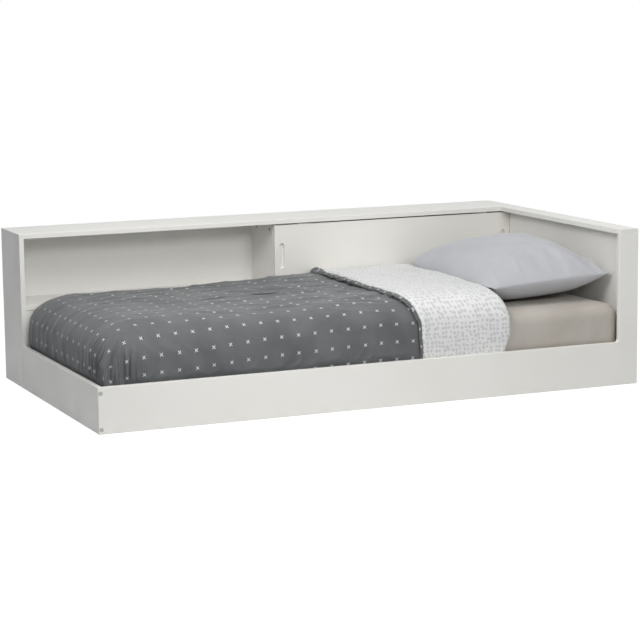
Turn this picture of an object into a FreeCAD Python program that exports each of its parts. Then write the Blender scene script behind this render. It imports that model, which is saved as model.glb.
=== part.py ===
import FreeCAD, Part
import math
import os
from types import SimpleNamespace

import Sketcher

# A bookcase headboard bed: a low single bed of white lacquered boards. A bookcase runs along its
# whole back long side, with an open compartment and a sliding door, and a shallow box closes the
# head end. Inside the boards lie two ledgers, a row of slats, a mattress, a duvet and a pillow.
#
# Millimetres. The origin is on the floor under the middle of the bed. +X points to the head end,
# +Y to the bookcase and +Z up. Places are counted from the bed's front left corner on the floor,
# and place() moves them into that frame.

os.makedirs("parts", exist_ok=True)
doc = FreeCAD.newDocument("BookcaseBed")
Vector = FreeCAD.Vector

# ---------------------------------------------------------------- the sheet of driving sizes

SIZES = (
    ("bed_length", 2108, "outer face of the foot end to outer face of the head end"),
    ("bed_width", 1196, "front face of the front board to the back of the bookcase"),
    ("bed_height", 585, "floor to the top of the top boards"),
    ("board", 18, "thickness of the lacquered boards"),
    ("edge_break", 1, "bevel on the edges of the lacquered boards"),
    ("rail_height", 162, "height of the footboard and of the front board's rail"),
    ("head_width", 80, "width of the head end's top board and of the front board's stile"),
    ("head_panel", 36, "thickness of the head end's hollow-core panel"),
    ("router_radius", 12, "inner corner of the front board, where the rail meets the stile"),
    ("case_depth", 256, "depth of the bookcase under its top board"),
    ("shelf_top", 315, "floor to the upper face of the shelf"),
    ("divider_at", 1030, "foot end to the near face of the divider"),
    ("panel_setback", 3, "lower front panel behind the shelf's front edge"),
    ("housing_depth", 6, "depth of the stopped grooves that hold the shelf's ends"),
    ("housing_stop", 24, "front edge of the shelf to the start of those grooves"),
    ("back_thick", 4, "thickness of the bookcase's back panels"),
    ("back_inset", 2, "back panels in from the bookcase's back edges"),
    ("door_thick", 16, "thickness of the sliding door"),
    ("door_setback", 5, "door behind the front edges of shelf and top board"),
    ("door_gap_top", 5, "gap between the door and the top board"),
    ("door_gap_low", 4, "gap between the door and the shelf"),
    ("door_end_gap", 1, "gap at each end of the door's travel"),
    ("door_back_gap", 2, "gap between the door and the divider's front edge"),
    ("grip_length", 100, "length of a routed finger grip"),
    ("grip_width", 20, "width of a routed finger grip"),
    ("grip_depth", 9, "depth of a routed finger grip"),
    ("grip_inset", 30, "end of the door to the middle of a finger grip"),
    ("track_width", 10, "width of a door track"),
    ("track_height", 6, "height of a door track"),
    ("track_slot", 4.4, "width of the slot in a track"),
    ("track_floor", 1.2, "thickness of a track under its slot"),
    ("runner_length", 60, "length of a runner or guide in the door's edge"),
    ("runner_mortise", 8, "depth of the runner's mortise in the door's edge"),
    ("runner_tongue", 3.2, "thickness of the runner's tongue in the track"),
    ("runner_inset", 90, "end of the door to the near end of a runner"),
    ("guide_inset", 10, "end of a guide to its sprung tongue"),
    ("slide_play", 0.4, "running clearance of the runners in the tracks"),
    ("ledger", 28, "side of a ledger's square section"),
    ("slat_top", 120, "floor to the upper face of the slats"),
    ("slat_thick", 18, "thickness of a slat"),
    ("slat_width", 70, "width of a slat"),
    ("slat_bevel", 3, "bevel on a slat's long edges"),
    ("slat_end_gap", 1, "gap at each end of a slat"),
    ("slat_first", 30, "inner face of the footboard to the first slat"),
    ("strap_width", 25, "width of a webbing strap"),
    ("strap_thick", 0.9, "thickness of a webbing strap"),
    ("strap_inset", 190, "end of the slats to the middle of a strap"),
    ("fit", 0.1, "clearance round a fastener in its hole, on the radius"),
    ("hole_end", 0.5, "clearance beyond the end of a fastener in its hole"),
    ("fixing_inset", 56, "edge of the bookcase to its rows of cams and dowels"),
    ("cam_width", 15, "diameter of a cam"),
    ("cam_height", 12, "height of a cam"),
    ("cam_reach", 24, "middle of a cam to the edge of its board"),
    ("cam_bolt", 6, "diameter of a cam bolt"),
    ("cam_bite", 11, "length of a cam bolt in the board that it holds"),
    ("dowel_width", 8, "diameter of a wooden dowel"),
    ("dowel_length", 30, "length of a wooden dowel"),
    ("dowel_shift", 4, "dowels of the front board, deeper in the head end's panel"),
    ("bolt_head", 15, "diameter of a corner bolt's flat head"),
    ("bolt_head_high", 3.2, "height of a corner bolt's head"),
    ("bolt_seat", 3.4, "depth of the seat that takes the head"),
    ("bolt_low", 16, "floor to the middle of the lower corner bolt"),
    ("bolt_high", 141, "floor to the middle of the upper corner bolt"),
    ("bolt_shank", 6, "diameter of a corner bolt's shank"),
    ("bolt_length", 62, "length of a corner bolt"),
    ("bolt_key", 5, "width across the flats of the socket"),
    ("bolt_key_deep", 2.4, "depth of the socket"),
    ("nut_width", 10, "diameter of a barrel nut"),
    ("nut_length", 14, "length of a barrel nut"),
    ("nut_at", 50, "front face to the middle of a barrel nut"),
    ("screw_head", 9, "diameter of a screw's pan head"),
    ("screw_head_high", 2.2, "height of a screw's head"),
    ("screw_shank", 5, "diameter of a screw's shank"),
    ("screw_bite", 12, "length of a screw in its board"),
    ("bracket_leg", 60, "length of each leg of the steel angle"),
    ("bracket_high", 36, "height of the steel angle"),
    ("bracket_thick", 2.5, "thickness of the steel angle"),
    ("mattress_length", 2000, "length of the mattress"),
    ("mattress_width", 900, "width of the mattress"),
    ("mattress_low", 122.2, "floor to the underside of the mattress"),
    ("mattress_high", 299, "floor to the top of the mattress"),
    ("mattress_foot", 50, "foot end to the mattress"),
    ("mattress_front", 34, "front face to the mattress"),
    ("mattress_round", 45, "rounding of the mattress's upright and upper edges"),
    ("sheet_thick", 1.5, "thickness of the fitted sheet"),
    ("sheet_gap", 0.3, "fitted sheet off the mattress"),
    ("sheet_hem", 70, "width of the sheet's hem under the mattress"),
    ("duvet_gap", 1.5, "duvet off the boards around it"),
    ("duvet_low", 140, "floor to the duvet's tucked-in edge"),
    ("duvet_back", 932, "front face to the duvet's back edge"),
    ("duvet_shoulder", 150, "width of the round shoulder over the mattress's front edge"),
    ("duvet_bend", 26, "rounding of the duvet's back edge"),
    ("duvet_head", 1590, "foot end to the fold at the duvet's head end"),
    ("duvet_edge", 1172, "foot end to the turned-down edge on the duvet"),
    ("pillow_length", 660, "pillow across the bed, from corner to corner"),
    ("pillow_width", 516, "pillow along the bed, from corner to corner"),
    ("pillow_rise", 116, "pillow's seam to its crown"),
    ("pillow_sink", 104, "pillow's seam to its underside"),
    ("pillow_foot", 1536, "foot end to the pillow"),
    ("pillow_front", 120, "front face to the pillow"),
    ("pillow_seam", 401, "floor to the middle of the pillow's seam"),
    ("pillow_tilt", 2.9, "slope of the pillow up to the head end, in degrees"),
    ("pillow_rest", 381, "floor to the pillow where it lies on the duvet"),
)
SLATS = 14

sheet = doc.addObject("Spreadsheet::Sheet", "Sizes")
for row, (word, number, meaning) in enumerate(SIZES, start=1):
    sheet.set(f"A{row}", meaning)
    sheet.set(f"B{row}", str(number))
    sheet.setAlias(f"B{row}", word)
doc.recompute()


class Size:
    """A length that carries both its number and its formula over the sheet's cells."""

    def __init__(self, number, formula=None):
        self.number = float(number)
        self.formula = str(number) if formula is None else formula

    def joined(self, sign, other, number):
        return Size(number, f"({self.formula} {sign} {other.formula})")

    def __add__(self, other):
        other = as_size(other)
        return self.joined("+", other, self.number + other.number)

    def __sub__(self, other):
        other = as_size(other)
        return self.joined("-", other, self.number - other.number)

    def __mul__(self, other):
        other = as_size(other)
        return self.joined("*", other, self.number * other.number)

    def __truediv__(self, other):
        other = as_size(other)
        return self.joined("/", other, self.number / other.number)

    def __rsub__(self, other):
        return as_size(other) - self


def as_size(value):
    return value if isinstance(value, Size) else Size(value)


dim = SimpleNamespace(**{word: Size(getattr(sheet, word), f"Sizes.{word}") for word, _, _ in SIZES})

# Places that many pieces share.
zero = Size(0)
case_front = dim.bed_width - dim.case_depth
case_back = dim.bed_width - dim.back_inset - dim.back_thick
under_top = dim.bed_height - dim.board
stile_left = dim.bed_length - dim.head_width
panel_face = dim.bed_length - dim.head_panel
shelf_low = dim.shelf_top - dim.board
front_panel_face = case_front + dim.panel_setback
front_panel_back = front_panel_face + dim.board
divider_far = dim.divider_at + dim.board
divider_front = case_front + dim.door_setback + dim.door_thick + dim.door_back_gap
slat_low = dim.slat_top - dim.slat_thick

# ---------------------------------------------------------------- ways of making a piece

DIRECTIONS = {
    "+X": Vector(1, 0, 0), "-X": Vector(-1, 0, 0),
    "+Y": Vector(0, 1, 0), "-Y": Vector(0, -1, 0),
    "+Z": Vector(0, 0, 1), "-Z": Vector(0, 0, -1),
}
pieces = []
drills = {}


def bind(item, path, value):
    item.setExpression(path, as_size(value).formula)


def place(item, along, back, up):
    """Puts an item's own origin at a place counted from the bed's front left corner."""
    bind(item, "Placement.Base.x", along - dim.bed_length / 2)
    bind(item, "Placement.Base.y", back - dim.bed_width / 2)
    bind(item, "Placement.Base.z", up)
    return item


def turn(item, rotation):
    item.Placement = FreeCAD.Placement(Vector(0, 0, 0), rotation)
    return item


def keep(item, node):
    """Names an item as one of the bed's own pieces."""
    item.Label = node
    pieces.append(item)
    return item


def block(name, along, back, up):
    """A square-edged piece, from its low and high places in each direction."""
    item = doc.addObject("Part::Box", name)
    bind(item, "Length", along[1] - along[0])
    bind(item, "Width", back[1] - back[0])
    bind(item, "Height", up[1] - up[0])
    return place(item, along[0], back[0], up[0])


def shifted(spot, way, distance):
    """A place moved by a distance along one of the six directions."""
    direction = DIRECTIONS[way]
    return tuple(as_size(start) + as_size(distance) * part for start, part in zip(spot, direction))


def rod(name, width, spot, way, length):
    """A round bar that starts at a spot and runs along one of the six directions."""
    item = doc.addObject("Part::Cylinder", name)
    bind(item, "Radius", width / 2)
    bind(item, "Height", length)
    turn(item, FreeCAD.Rotation(DIRECTIONS["+Z"], DIRECTIONS[way]))
    return place(item, *spot)


def drill(boards, name, width, spot, way, length):
    """A hole through one or more boards, cut when each board is finished."""
    tool = rod(name, width, spot, way, length)
    for node in boards:
        drills.setdefault(node, []).append(tool)
    return tool


def cut(name, blank, tools):
    item = doc.addObject("Part::Cut", name)
    item.Base = blank
    item.Tool = tools[0] if len(tools) == 1 else group(f"{name}_tools", tools)
    return item


def group(name, members):
    item = doc.addObject("Part::Compound", name)
    item.Links = members
    return item


def finish(node, blank, grooves=()):
    """Cuts a board's grooves and drilled holes, and keeps it as a piece."""
    tools = list(grooves) + drills.get(node, [])
    return keep(cut(f"{node}_cut", blank, tools) if tools else blank, node)


def body(name, along, back, up, rotation=None):
    item = doc.addObject("PartDesign::Body", name)
    if rotation is not None:
        turn(item, rotation)
    return place(item, along, back, up)


def sketch(owner, name, role, offset=0):
    """A sketch on one of the body's own origin planes, or at a distance in front of it."""
    item = owner.newObject("Sketcher::SketchObject", name)
    plane = next(flat for flat in owner.Origin.OriginFeatures if flat.Role == role)
    item.AttachmentSupport = [(plane, "")]
    item.MapMode = "FlatFace"
    bind(item, "AttachmentOffset.Base.z", offset)
    return item


def hold(item, line, end, across, up):
    """Fixes one end of a line, or a circle's middle, at two formulas from the sketch's origin."""
    for kind, axis, value in (("DistanceX", -2, across), ("DistanceY", -1, up)):
        value = as_size(value)
        if value.number == 0:
            item.addConstraint(Sketcher.Constraint("PointOnObject", line, end, axis))
            continue
        rule = item.addConstraint(Sketcher.Constraint(kind, -1, 1, line, end, value.number))
        item.renameConstraint(rule, f"{kind}_{line}_{end}")
        bind(item, f"Constraints.{kind}_{line}_{end}", value)


def outline(item, corners):
    """Draws a closed outline of straight lines, with each corner held by its formulas."""
    points = [Vector(as_size(across).number, as_size(up).number, 0) for across, up in corners]
    first = item.GeometryCount
    for here, there in zip(points, points[1:] + points[:1]):
        item.addGeometry(Part.LineSegment(here, there), False)
    count = len(corners)
    for number, (across, up) in enumerate(corners):
        line, before = first + number, first + (number - 1) % count
        item.addConstraint(Sketcher.Constraint("Coincident", before, 2, line, 1))
        hold(item, line, 1, across, up)
    return item


def oblong(item, width, length, across, up):
    """Draws an upright slot with round ends, round its middle."""
    half, reach = as_size(width).number / 2, (length - width).number / 2
    x, y = as_size(across).number, as_size(up).number
    top = Part.ArcOfCircle(Part.Circle(Vector(x, y + reach, 0), DIRECTIONS["+Z"], half), 0, 3.14159265)
    low = Part.ArcOfCircle(
        Part.Circle(Vector(x, y - reach, 0), DIRECTIONS["+Z"], half), 3.14159265, 6.2831853
    )
    first = item.GeometryCount
    item.addGeometry(top, False)
    left = Part.LineSegment(Vector(x - half, y + reach, 0), Vector(x - half, y - reach, 0))
    right = Part.LineSegment(Vector(x + half, y - reach, 0), Vector(x + half, y + reach, 0))
    item.addGeometry(left, False)
    item.addGeometry(low, False)
    item.addGeometry(right, False)
    for line in range(4):
        item.addConstraint(Sketcher.Constraint("Tangent", first + line, 2, first + (line + 1) % 4, 1))
    rule = item.addConstraint(Sketcher.Constraint("Radius", first, half))
    item.renameConstraint(rule, f"round_{first}")
    bind(item, f"Constraints.round_{first}", width / 2)
    hold(item, first, 3, across, up + (length - width) / 2)
    hold(item, first + 2, 3, across, up - (length - width) / 2)
    return item


def pad(owner, profile, length):
    """Raises a profile off its plane, towards +X, +Y or +Z."""
    item = owner.newObject("PartDesign::Pad", f"{profile.Name}_pad")
    item.Profile = profile
    item.Reversed = profile.AttachmentSupport[0][0].Role == "XZ_Plane"
    bind(item, "Length", length)
    return item


def pocket(owner, profile, depth):
    """Cuts a profile into the piece, from its plane towards +X, +Y or +Z."""
    item = owner.newObject("PartDesign::Pocket", f"{profile.Name}_pocket")
    item.Profile = profile
    item.Reversed = profile.AttachmentSupport[0][0].Role != "XZ_Plane"
    bind(item, "Length", depth)
    return item


def bevel(owner, raised, size):
    """Takes the sharpness off all edges of a raised board."""
    item = owner.newObject("PartDesign::Chamfer", f"{owner.Name}_bevel")
    item.Base = (raised, ["Face1"])
    item.UseAllEdges = True
    bind(item, "Size", size)
    return item


def board(node, along, back, up):
    """A lacquered board, from its low and high places in each direction."""
    owner = body(f"{node}_body", along[0], back[0], up[0])
    length, width = along[1] - along[0], back[1] - back[0]
    face = sketch(owner, f"{node}_face", "XY_Plane")
    outline(face, [(0, 0), (length, 0), (length, width), (0, width)])
    bevel(owner, pad(owner, face, up[1] - up[0]), dim.edge_break)
    return owner


def turned(owner, profile):
    """Turns a half profile round the body's upright axis."""
    item = owner.newObject("PartDesign::Revolution", f"{profile.Name}_turned")
    item.Profile = profile
    item.ReferenceAxis = (profile, ["V_Axis"])
    item.Angle = 360
    return item


# ---------------------------------------------------------------- knock-down fasteners

cams = []
cam_bolts = []
dowels = []


def cam_joint(spot, into, towards, boards):
    """A cam sunk into the face of one board, and its bolt, which runs out through that board's
    edge and is screwed into the board that it draws up tight."""
    number = len(cams) + 1
    middle = shifted(spot, into, dim.board / 2)
    rim = dim.cam_width / 2 + dim.fit
    length = dim.cam_reach + dim.cam_bite - rim
    bolt_start = shifted(middle, towards, rim)
    cams.append(rod(f"cam_{number}", dim.cam_width, spot, into, dim.cam_height))
    cam_bolts.append(rod(f"cam_bolt_{number}", dim.cam_bolt, bolt_start, towards, length))
    seat_width, hole_width = dim.cam_width + dim.fit * 2, dim.cam_bolt + dim.fit * 2
    drill(boards[:1], f"cam_seat_{number}", seat_width, spot, into, dim.cam_height + dim.fit)
    drill(boards, f"cam_bolt_hole_{number}", hole_width, bolt_start, towards, length + dim.hole_end)


def dowel_joint(spot, way, boards):
    """A wooden dowel, half in each of the two boards that meet at the spot."""
    number = len(dowels) + 1
    start = shifted(spot, way, dim.dowel_length / -2)
    hole_start = shifted(start, way, 0 - dim.hole_end)
    hole_width, hole_length = dim.dowel_width + dim.fit * 2, dim.dowel_length + dim.hole_end * 2
    dowels.append(rod(f"dowel_{number}", dim.dowel_width, start, way, dim.dowel_length))
    drill(boards, f"dowel_hole_{number}", hole_width, hole_start, way, hole_length)


def headed_pin(name, head, head_high, shank, length, spot, way):
    """A bolt or screw with a flat round head, which sits on a board's face at the spot."""
    start = shifted(spot, way, 0 - head_high)
    owner = body(name, *start, rotation=FreeCAD.Rotation(DIRECTIONS["+Z"], DIRECTIONS[way]))
    profile = sketch(owner, f"{name}_profile", "XZ_Plane")
    tip = head_high + length
    outline(profile, [
        (0, 0), (head / 2, 0), (head / 2, head_high), (shank / 2, head_high), (shank / 2, tip), (0, tip),
    ])
    turned(owner, profile)
    return owner


def hex_socket(owner, across_flats, depth):
    """Cuts a six-sided key socket into the head of a bolt."""
    corner = across_flats / 3**0.5
    half = across_flats / 2
    profile = sketch(owner, f"{owner.Name}_socket", "XY_Plane")
    outline(profile, [
        (0 - corner, 0), (0 - corner / 2, 0 - half), (corner / 2, 0 - half),
        (corner, 0), (corner / 2, half), (0 - corner / 2, half),
    ])
    pocket(owner, profile, depth)


# Two bolts go through the front board into barrel nuts in the footboard. Each head lies in a
# round seat, a hair below the face.
bolts = []
nuts = []
foot_middle = dim.board / 2
for number, level in enumerate((dim.bolt_low, dim.bolt_high), start=1):
    seat = (foot_middle, dim.bolt_seat, level)
    bolt = headed_pin(
        f"bolt_{number}", dim.bolt_head, dim.bolt_head_high, dim.bolt_shank, dim.bolt_length, seat, "+Y",
    )
    hex_socket(bolt, dim.bolt_key, dim.bolt_key_deep)
    bolts.append(bolt)
    face = (foot_middle, zero, level)
    seat_width, hole_width = dim.bolt_head + dim.fit * 4, dim.bolt_shank + dim.fit * 2
    drill(["front_board"], f"bolt_seat_{number}", seat_width, face, "+Y", dim.bolt_seat)
    hole = drill(
        ["front_board", "footboard"], f"bolt_hole_{number}", hole_width, seat, "+Y",
        dim.bolt_length + dim.hole_end,
    )
    nut_face = (dim.board, dim.nut_at, level)
    nut = rod(f"nut_blank_{number}", dim.nut_width, nut_face, "-X", dim.nut_length)
    nuts.append(cut(f"nut_{number}", nut, [hole]))
    drill(
        ["footboard"], f"nut_hole_{number}", dim.nut_width + dim.fit * 2, nut_face, "-X",
        dim.nut_length + dim.hole_end,
    )
keep(group("bolt_group", bolts), "corner_bolts")
keep(group("nut_group", nuts), "barrel_nuts")

# Cams draw the divider up to the top board, and dowels join the boards that butt at the corners.
head_middle = panel_face + dim.head_panel / 2
cam_level = under_top - dim.cam_reach
rows = (case_front + dim.fixing_inset, case_back - dim.fixing_inset)
for back in rows:
    cam_joint((dim.divider_at, back, cam_level), "+X", "+Z", ["divider", "bookcase_top"])
    dowel_joint((foot_middle, back, under_top), "+Z", ["bookcase_side", "bookcase_top"])
for share in (0.2, 0.8):
    spot = (head_middle, case_front * share, under_top)
    dowel_joint(spot, "+Z", ["headboard_panel", "headboard_top"])
    spot = (head_middle, dim.board + dim.dowel_shift, under_top * share)
    dowel_joint(spot, "+Y", ["front_board", "headboard_panel"])
keep(group("cam_group", cams), "cams")
keep(group("cam_bolt_group", cam_bolts), "cam_bolts")
keep(group("dowel_group", dowels), "dowels")

# The shelf's ends are housed in stopped grooves of the bookcase's side and the head end's panel.
shelf_left, shelf_right = dim.board - dim.housing_depth, panel_face + dim.housing_depth
for node, along in (
    ("bookcase_side", (shelf_left, dim.board)), ("headboard_panel", (panel_face, shelf_right)),
):
    back = (case_front + dim.housing_stop - dim.edge_break, case_back)
    housing = block(f"{node}_housing", along, back, (shelf_low, dim.shelf_top))
    drills.setdefault(node, []).append(housing)

# A steel angle ties the footboard to the lower front panel, below the ledger.
bracket_low = slat_low - dim.ledger - dim.bracket_high - 10
angle = body("angle", dim.board, front_panel_face, bracket_low)
legs = sketch(angle, "angle_legs", "XY_Plane")
inner = 0 - dim.bracket_thick
outline(legs, [
    (0, 0 - dim.bracket_leg), (dim.bracket_thick, 0 - dim.bracket_leg), (dim.bracket_thick, inner),
    (dim.bracket_leg, inner), (dim.bracket_leg, 0), (0, 0),
])
pad(angle, legs, dim.bracket_high)
screws = []
screw_level = bracket_low + dim.bracket_high / 2
screw_out = dim.bracket_leg * 0.6
screw_length = dim.bracket_thick + dim.screw_bite
foot_spot = (dim.board + dim.bracket_thick, front_panel_face - screw_out, screw_level)
case_spot = (dim.board + screw_out, front_panel_face - dim.bracket_thick, screw_level)
for side, spot, way, node in (
    ("foot", foot_spot, "-X", "footboard"), ("case", case_spot, "+Y", "front_panel"),
):
    name = f"{side}_screw"
    screws.append(
        headed_pin(name, dim.screw_head, dim.screw_head_high, dim.screw_shank, screw_length, spot, way)
    )
    hole_width = dim.screw_shank + dim.fit * 2
    drill(["bracket", node], f"{name}_hole", hole_width, spot, way, screw_length + dim.hole_end)
finish("bracket", angle)
keep(group("screw_group", screws), "bracket_screws")

# ---------------------------------------------------------------- ledgers, slats and straps

ledger_span = (dim.board, panel_face)
ledger_levels = (slat_low - dim.ledger, slat_low)
for side, low, high in (
    ("front", dim.board, dim.board + dim.ledger),
    ("back", front_panel_face - dim.ledger, front_panel_face),
):
    keep(block(f"{side}_batten", ledger_span, (low, high), ledger_levels), f"{side}_ledger")

# Each slat has its long edges bevelled, and lies loose on the ledgers.
slat_start = dim.board + dim.slat_end_gap
slat_long = front_panel_face - dim.slat_end_gap - slat_start
slat_pitch = (panel_face - dim.board - dim.slat_first * 2 - dim.slat_width) / (SLATS - 1)
off, wide, high = dim.slat_bevel, dim.slat_width, dim.slat_thick
for number in range(SLATS):
    node = f"slat_{number + 1:02d}"
    slat = body(f"{node}_body", dim.board + dim.slat_first + slat_pitch * number, slat_start, slat_low)
    section = sketch(slat, f"{node}_section", "XZ_Plane")
    outline(section, [
        (off, 0), (wide - off, 0), (wide, off), (wide, high - off),
        (wide - off, high), (off, high), (0, high - off), (0, off),
    ])
    pad(slat, section, slat_long)
    keep(slat, node)

# Two webbing straps run under the slats and keep them apart.
strap_span = (dim.board + dim.slat_first, panel_face - dim.slat_first)
strap_levels = (slat_low - dim.strap_thick, slat_low)
for side, middle in (
    ("front", slat_start + dim.strap_inset), ("back", slat_start + slat_long - dim.strap_inset),
):
    width = (middle - dim.strap_width / 2, middle + dim.strap_width / 2)
    keep(block(f"{side}_webbing", strap_span, width, strap_levels), f"{side}_strap")

# ---------------------------------------------------------------- head end, foot end and front

# The front board is one board, sawn and routed to an L: a low rail with a stile up to the top.
front = body("front", zero, zero, zero)
front_shape = sketch(front, "front_shape", "XZ_Plane")
outline(front_shape, [
    (0, 0), (dim.bed_length, 0), (dim.bed_length, under_top), (stile_left, under_top),
    (stile_left, dim.rail_height), (0, dim.rail_height),
])
front_pad = pad(front, front_shape, dim.board)
doc.recompute()


def at_inner_corner(edge):
    """Whether an edge is the upright one where the rail meets the stile."""
    return all(
        abs(point.X - stile_left.number) < 0.01 and abs(point.Z - dim.rail_height.number) < 0.01
        for point in edge.Vertexes
    )


inner_corner = next(
    f"Edge{number}" for number, edge in enumerate(front_pad.Shape.Edges, start=1) if at_inner_corner(edge)
)
router = front.newObject("PartDesign::Fillet", "router_corner")
router.Base = (front_pad, [inner_corner])
bind(router, "Radius", dim.router_radius)
bevel(front, router, dim.edge_break)
finish("front_board", front)

foot_length = (zero, dim.board)
head_length = (panel_face, dim.bed_length)
top_levels = (under_top, dim.bed_height)
finish("footboard", board("footboard", foot_length, (dim.board, case_front), (zero, dim.rail_height)))
finish("headboard_panel", board(
    "headboard_panel", head_length, (dim.board, dim.bed_width), (zero, under_top),
))
finish("headboard_top", board(
    "headboard_top", (stile_left, dim.bed_length), (zero, case_front), top_levels,
))

# ---------------------------------------------------------------- bookcase

# The shelf and the top board are grooved for the door's tracks.
track_middle = case_front + dim.door_setback + dim.door_thick / 2
track_sides = (track_middle - dim.track_width / 2, track_middle + dim.track_width / 2)
inside = (dim.board, panel_face)
low_groove = block("low_groove", inside, track_sides, (dim.shelf_top - dim.track_height, dim.shelf_top))
top_groove = block("top_groove", inside, track_sides, (under_top, under_top + dim.track_height))

finish("bookcase_top", board(
    "bookcase_top", (zero, dim.bed_length), (case_front, dim.bed_width), top_levels,
), [top_groove])
finish("bookcase_side", board(
    "bookcase_side", foot_length, (case_front, dim.bed_width), (zero, under_top),
))
shelf = body("shelf_body", shelf_left, case_front, shelf_low)
shelf_face = sketch(shelf, "shelf_face", "XY_Plane")
shelf_long, shelf_deep = shelf_right - shelf_left, case_back - case_front
notch, stop = dim.housing_depth, dim.housing_stop
outline(shelf_face, [
    (notch, 0), (shelf_long - notch, 0), (shelf_long - notch, stop), (shelf_long, stop),
    (shelf_long, shelf_deep), (0, shelf_deep), (0, stop), (notch, stop),
])
bevel(shelf, pad(shelf, shelf_face, dim.board), dim.edge_break)
finish("shelf", shelf, [low_groove])
finish("divider", board(
    "divider", (dim.divider_at, divider_far), (divider_front, case_back), (dim.shelf_top, under_top),
))
finish("lower_divider", block(
    "lower_divider_blank", (dim.divider_at, divider_far), (front_panel_back, case_back), (zero, shelf_low),
))
finish("front_panel", block(
    "front_panel_blank", inside, (front_panel_face, front_panel_back), (zero, shelf_low),
))
back_sides = (case_back, case_back + dim.back_thick)
back_levels = (dim.back_inset, under_top)
back_seam = dim.divider_at + dim.board / 2
keep(block("foot_back", (dim.board, back_seam), back_sides, back_levels), "back_panel_foot")
keep(block("head_back", (back_seam, panel_face), back_sides, back_levels), "back_panel_head")

# ---------------------------------------------------------------- sliding door and its tracks


def track(node, level, opening_up):
    """A plastic channel let into its board, with its slot towards the door."""
    owner = body(f"{node}_channel", dim.board, track_sides[0], level)
    section = sketch(owner, f"{node}_section", "YZ_Plane")
    wall = (dim.track_width - dim.track_slot) / 2
    shut, floor, mouth = zero, dim.track_floor, dim.track_height
    if not opening_up:
        shut, floor, mouth = (dim.track_height - level for level in (shut, floor, mouth))
    outline(section, [
        (0, shut), (dim.track_width, shut), (dim.track_width, mouth), (dim.track_width - wall, mouth),
        (dim.track_width - wall, floor), (wall, floor), (wall, mouth), (0, mouth),
    ])
    pad(owner, section, panel_face - dim.board)
    keep(owner, node)


track("low_track", dim.shelf_top - dim.track_height, opening_up=True)
track("top_track", under_top, opening_up=False)

door_left = dim.divider_at + dim.door_end_gap
door_right = panel_face - dim.door_end_gap
door_low = dim.shelf_top + dim.door_gap_low
door_high = under_top - dim.door_gap_top
door_length = door_right - door_left
door_height = door_high - door_low

# The door is one board with two blind finger grips, routed in from its front.
door = body("door", door_left, case_front + dim.door_setback, door_low)
door_shape = sketch(door, "door_shape", "XZ_Plane")
outline(door_shape, [(0, 0), (door_length, 0), (door_length, door_height), (0, door_height)])
bevel(door, pad(door, door_shape, dim.door_thick), dim.edge_break)
doc.recompute()
whole_door = door.Shape.Volume
grips = sketch(door, "door_grips", "XZ_Plane")
for across in (dim.grip_inset, door_length - dim.grip_inset):
    oblong(grips, dim.grip_width, dim.grip_length, across, door_height / 2)
pocket(door, grips, dim.grip_depth)
doc.recompute()
if not door.Shape.Volume < whole_door - 1000:
    raise RuntimeError("the finger grips were not cut into the door")

# Nylon runners in mortises under the door carry it, and sprung guides in its top edge keep it
# upright. Each has a tongue that reaches into the slot of its track.
tongue_sides = (track_middle - dim.runner_tongue / 2, track_middle + dim.runner_tongue / 2)
track_bed = dim.shelf_top - dim.track_height + dim.track_floor
track_roof = under_top + dim.track_height - dim.track_floor
runners = []
guides = []
mortises = []


def tongued(name, span, shoe_levels, tongue_span, tongue_levels):
    """A block that fills its mortise, with a tongue out of its middle."""
    item = doc.addObject("Part::Fuse", name)
    item.Base = block(f"{name}_shoe", span, track_sides, shoe_levels)
    item.Tool = block(f"{name}_tongue", tongue_span, tongue_sides, tongue_levels)
    return item


for number, start in enumerate(
    (door_left + dim.runner_inset, door_right - dim.runner_inset - dim.runner_length), start=1
):
    span = (start, start + dim.runner_length)
    narrow = (start + dim.guide_inset, start + dim.runner_length - dim.guide_inset)
    foot = door_low + dim.runner_mortise
    crown = door_high - dim.runner_mortise
    mortises.append(block(f"low_mortise_{number}", span, track_sides, (door_low, foot)))
    mortises.append(block(f"top_mortise_{number}", span, track_sides, (crown, door_high)))
    runners.append(tongued(
        f"runner_{number}", span, (dim.shelf_top + dim.slide_play, foot),
        span, (track_bed + dim.slide_play, foot),
    ))
    guides.append(tongued(
        f"guide_{number}", span, (crown, door_high), narrow, (crown, track_roof - dim.slide_play),
    ))
keep(cut("door_cut", door, mortises), "sliding_door")
keep(group("runner_group", runners), "door_runners")
keep(group("guide_group", guides), "door_guides")

# ---------------------------------------------------------------- mattress and fitted sheet


def soft_block(name, swell, low, high, radius):
    """The mattress's form, swelled on its sides: a block with round upright and upper edges."""
    along = (dim.mattress_foot - swell, dim.mattress_foot + dim.mattress_length + swell)
    back = (dim.mattress_front - swell, dim.mattress_front + dim.mattress_width + swell)
    blank = block(f"{name}_blank", along, back, (low, high))
    doc.recompute()
    item = doc.addObject("Part::Fillet", name)
    item.Base = blank
    item.Edges = [
        (number, radius.number, radius.number)
        for number, edge in enumerate(blank.Shape.Edges, start=1)
        if edge.BoundBox.ZMax > low.number + 1
    ]
    return item


mattress = soft_block("mattress_form", zero, dim.mattress_low, dim.mattress_high, dim.mattress_round)
keep(mattress, "mattress")

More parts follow.
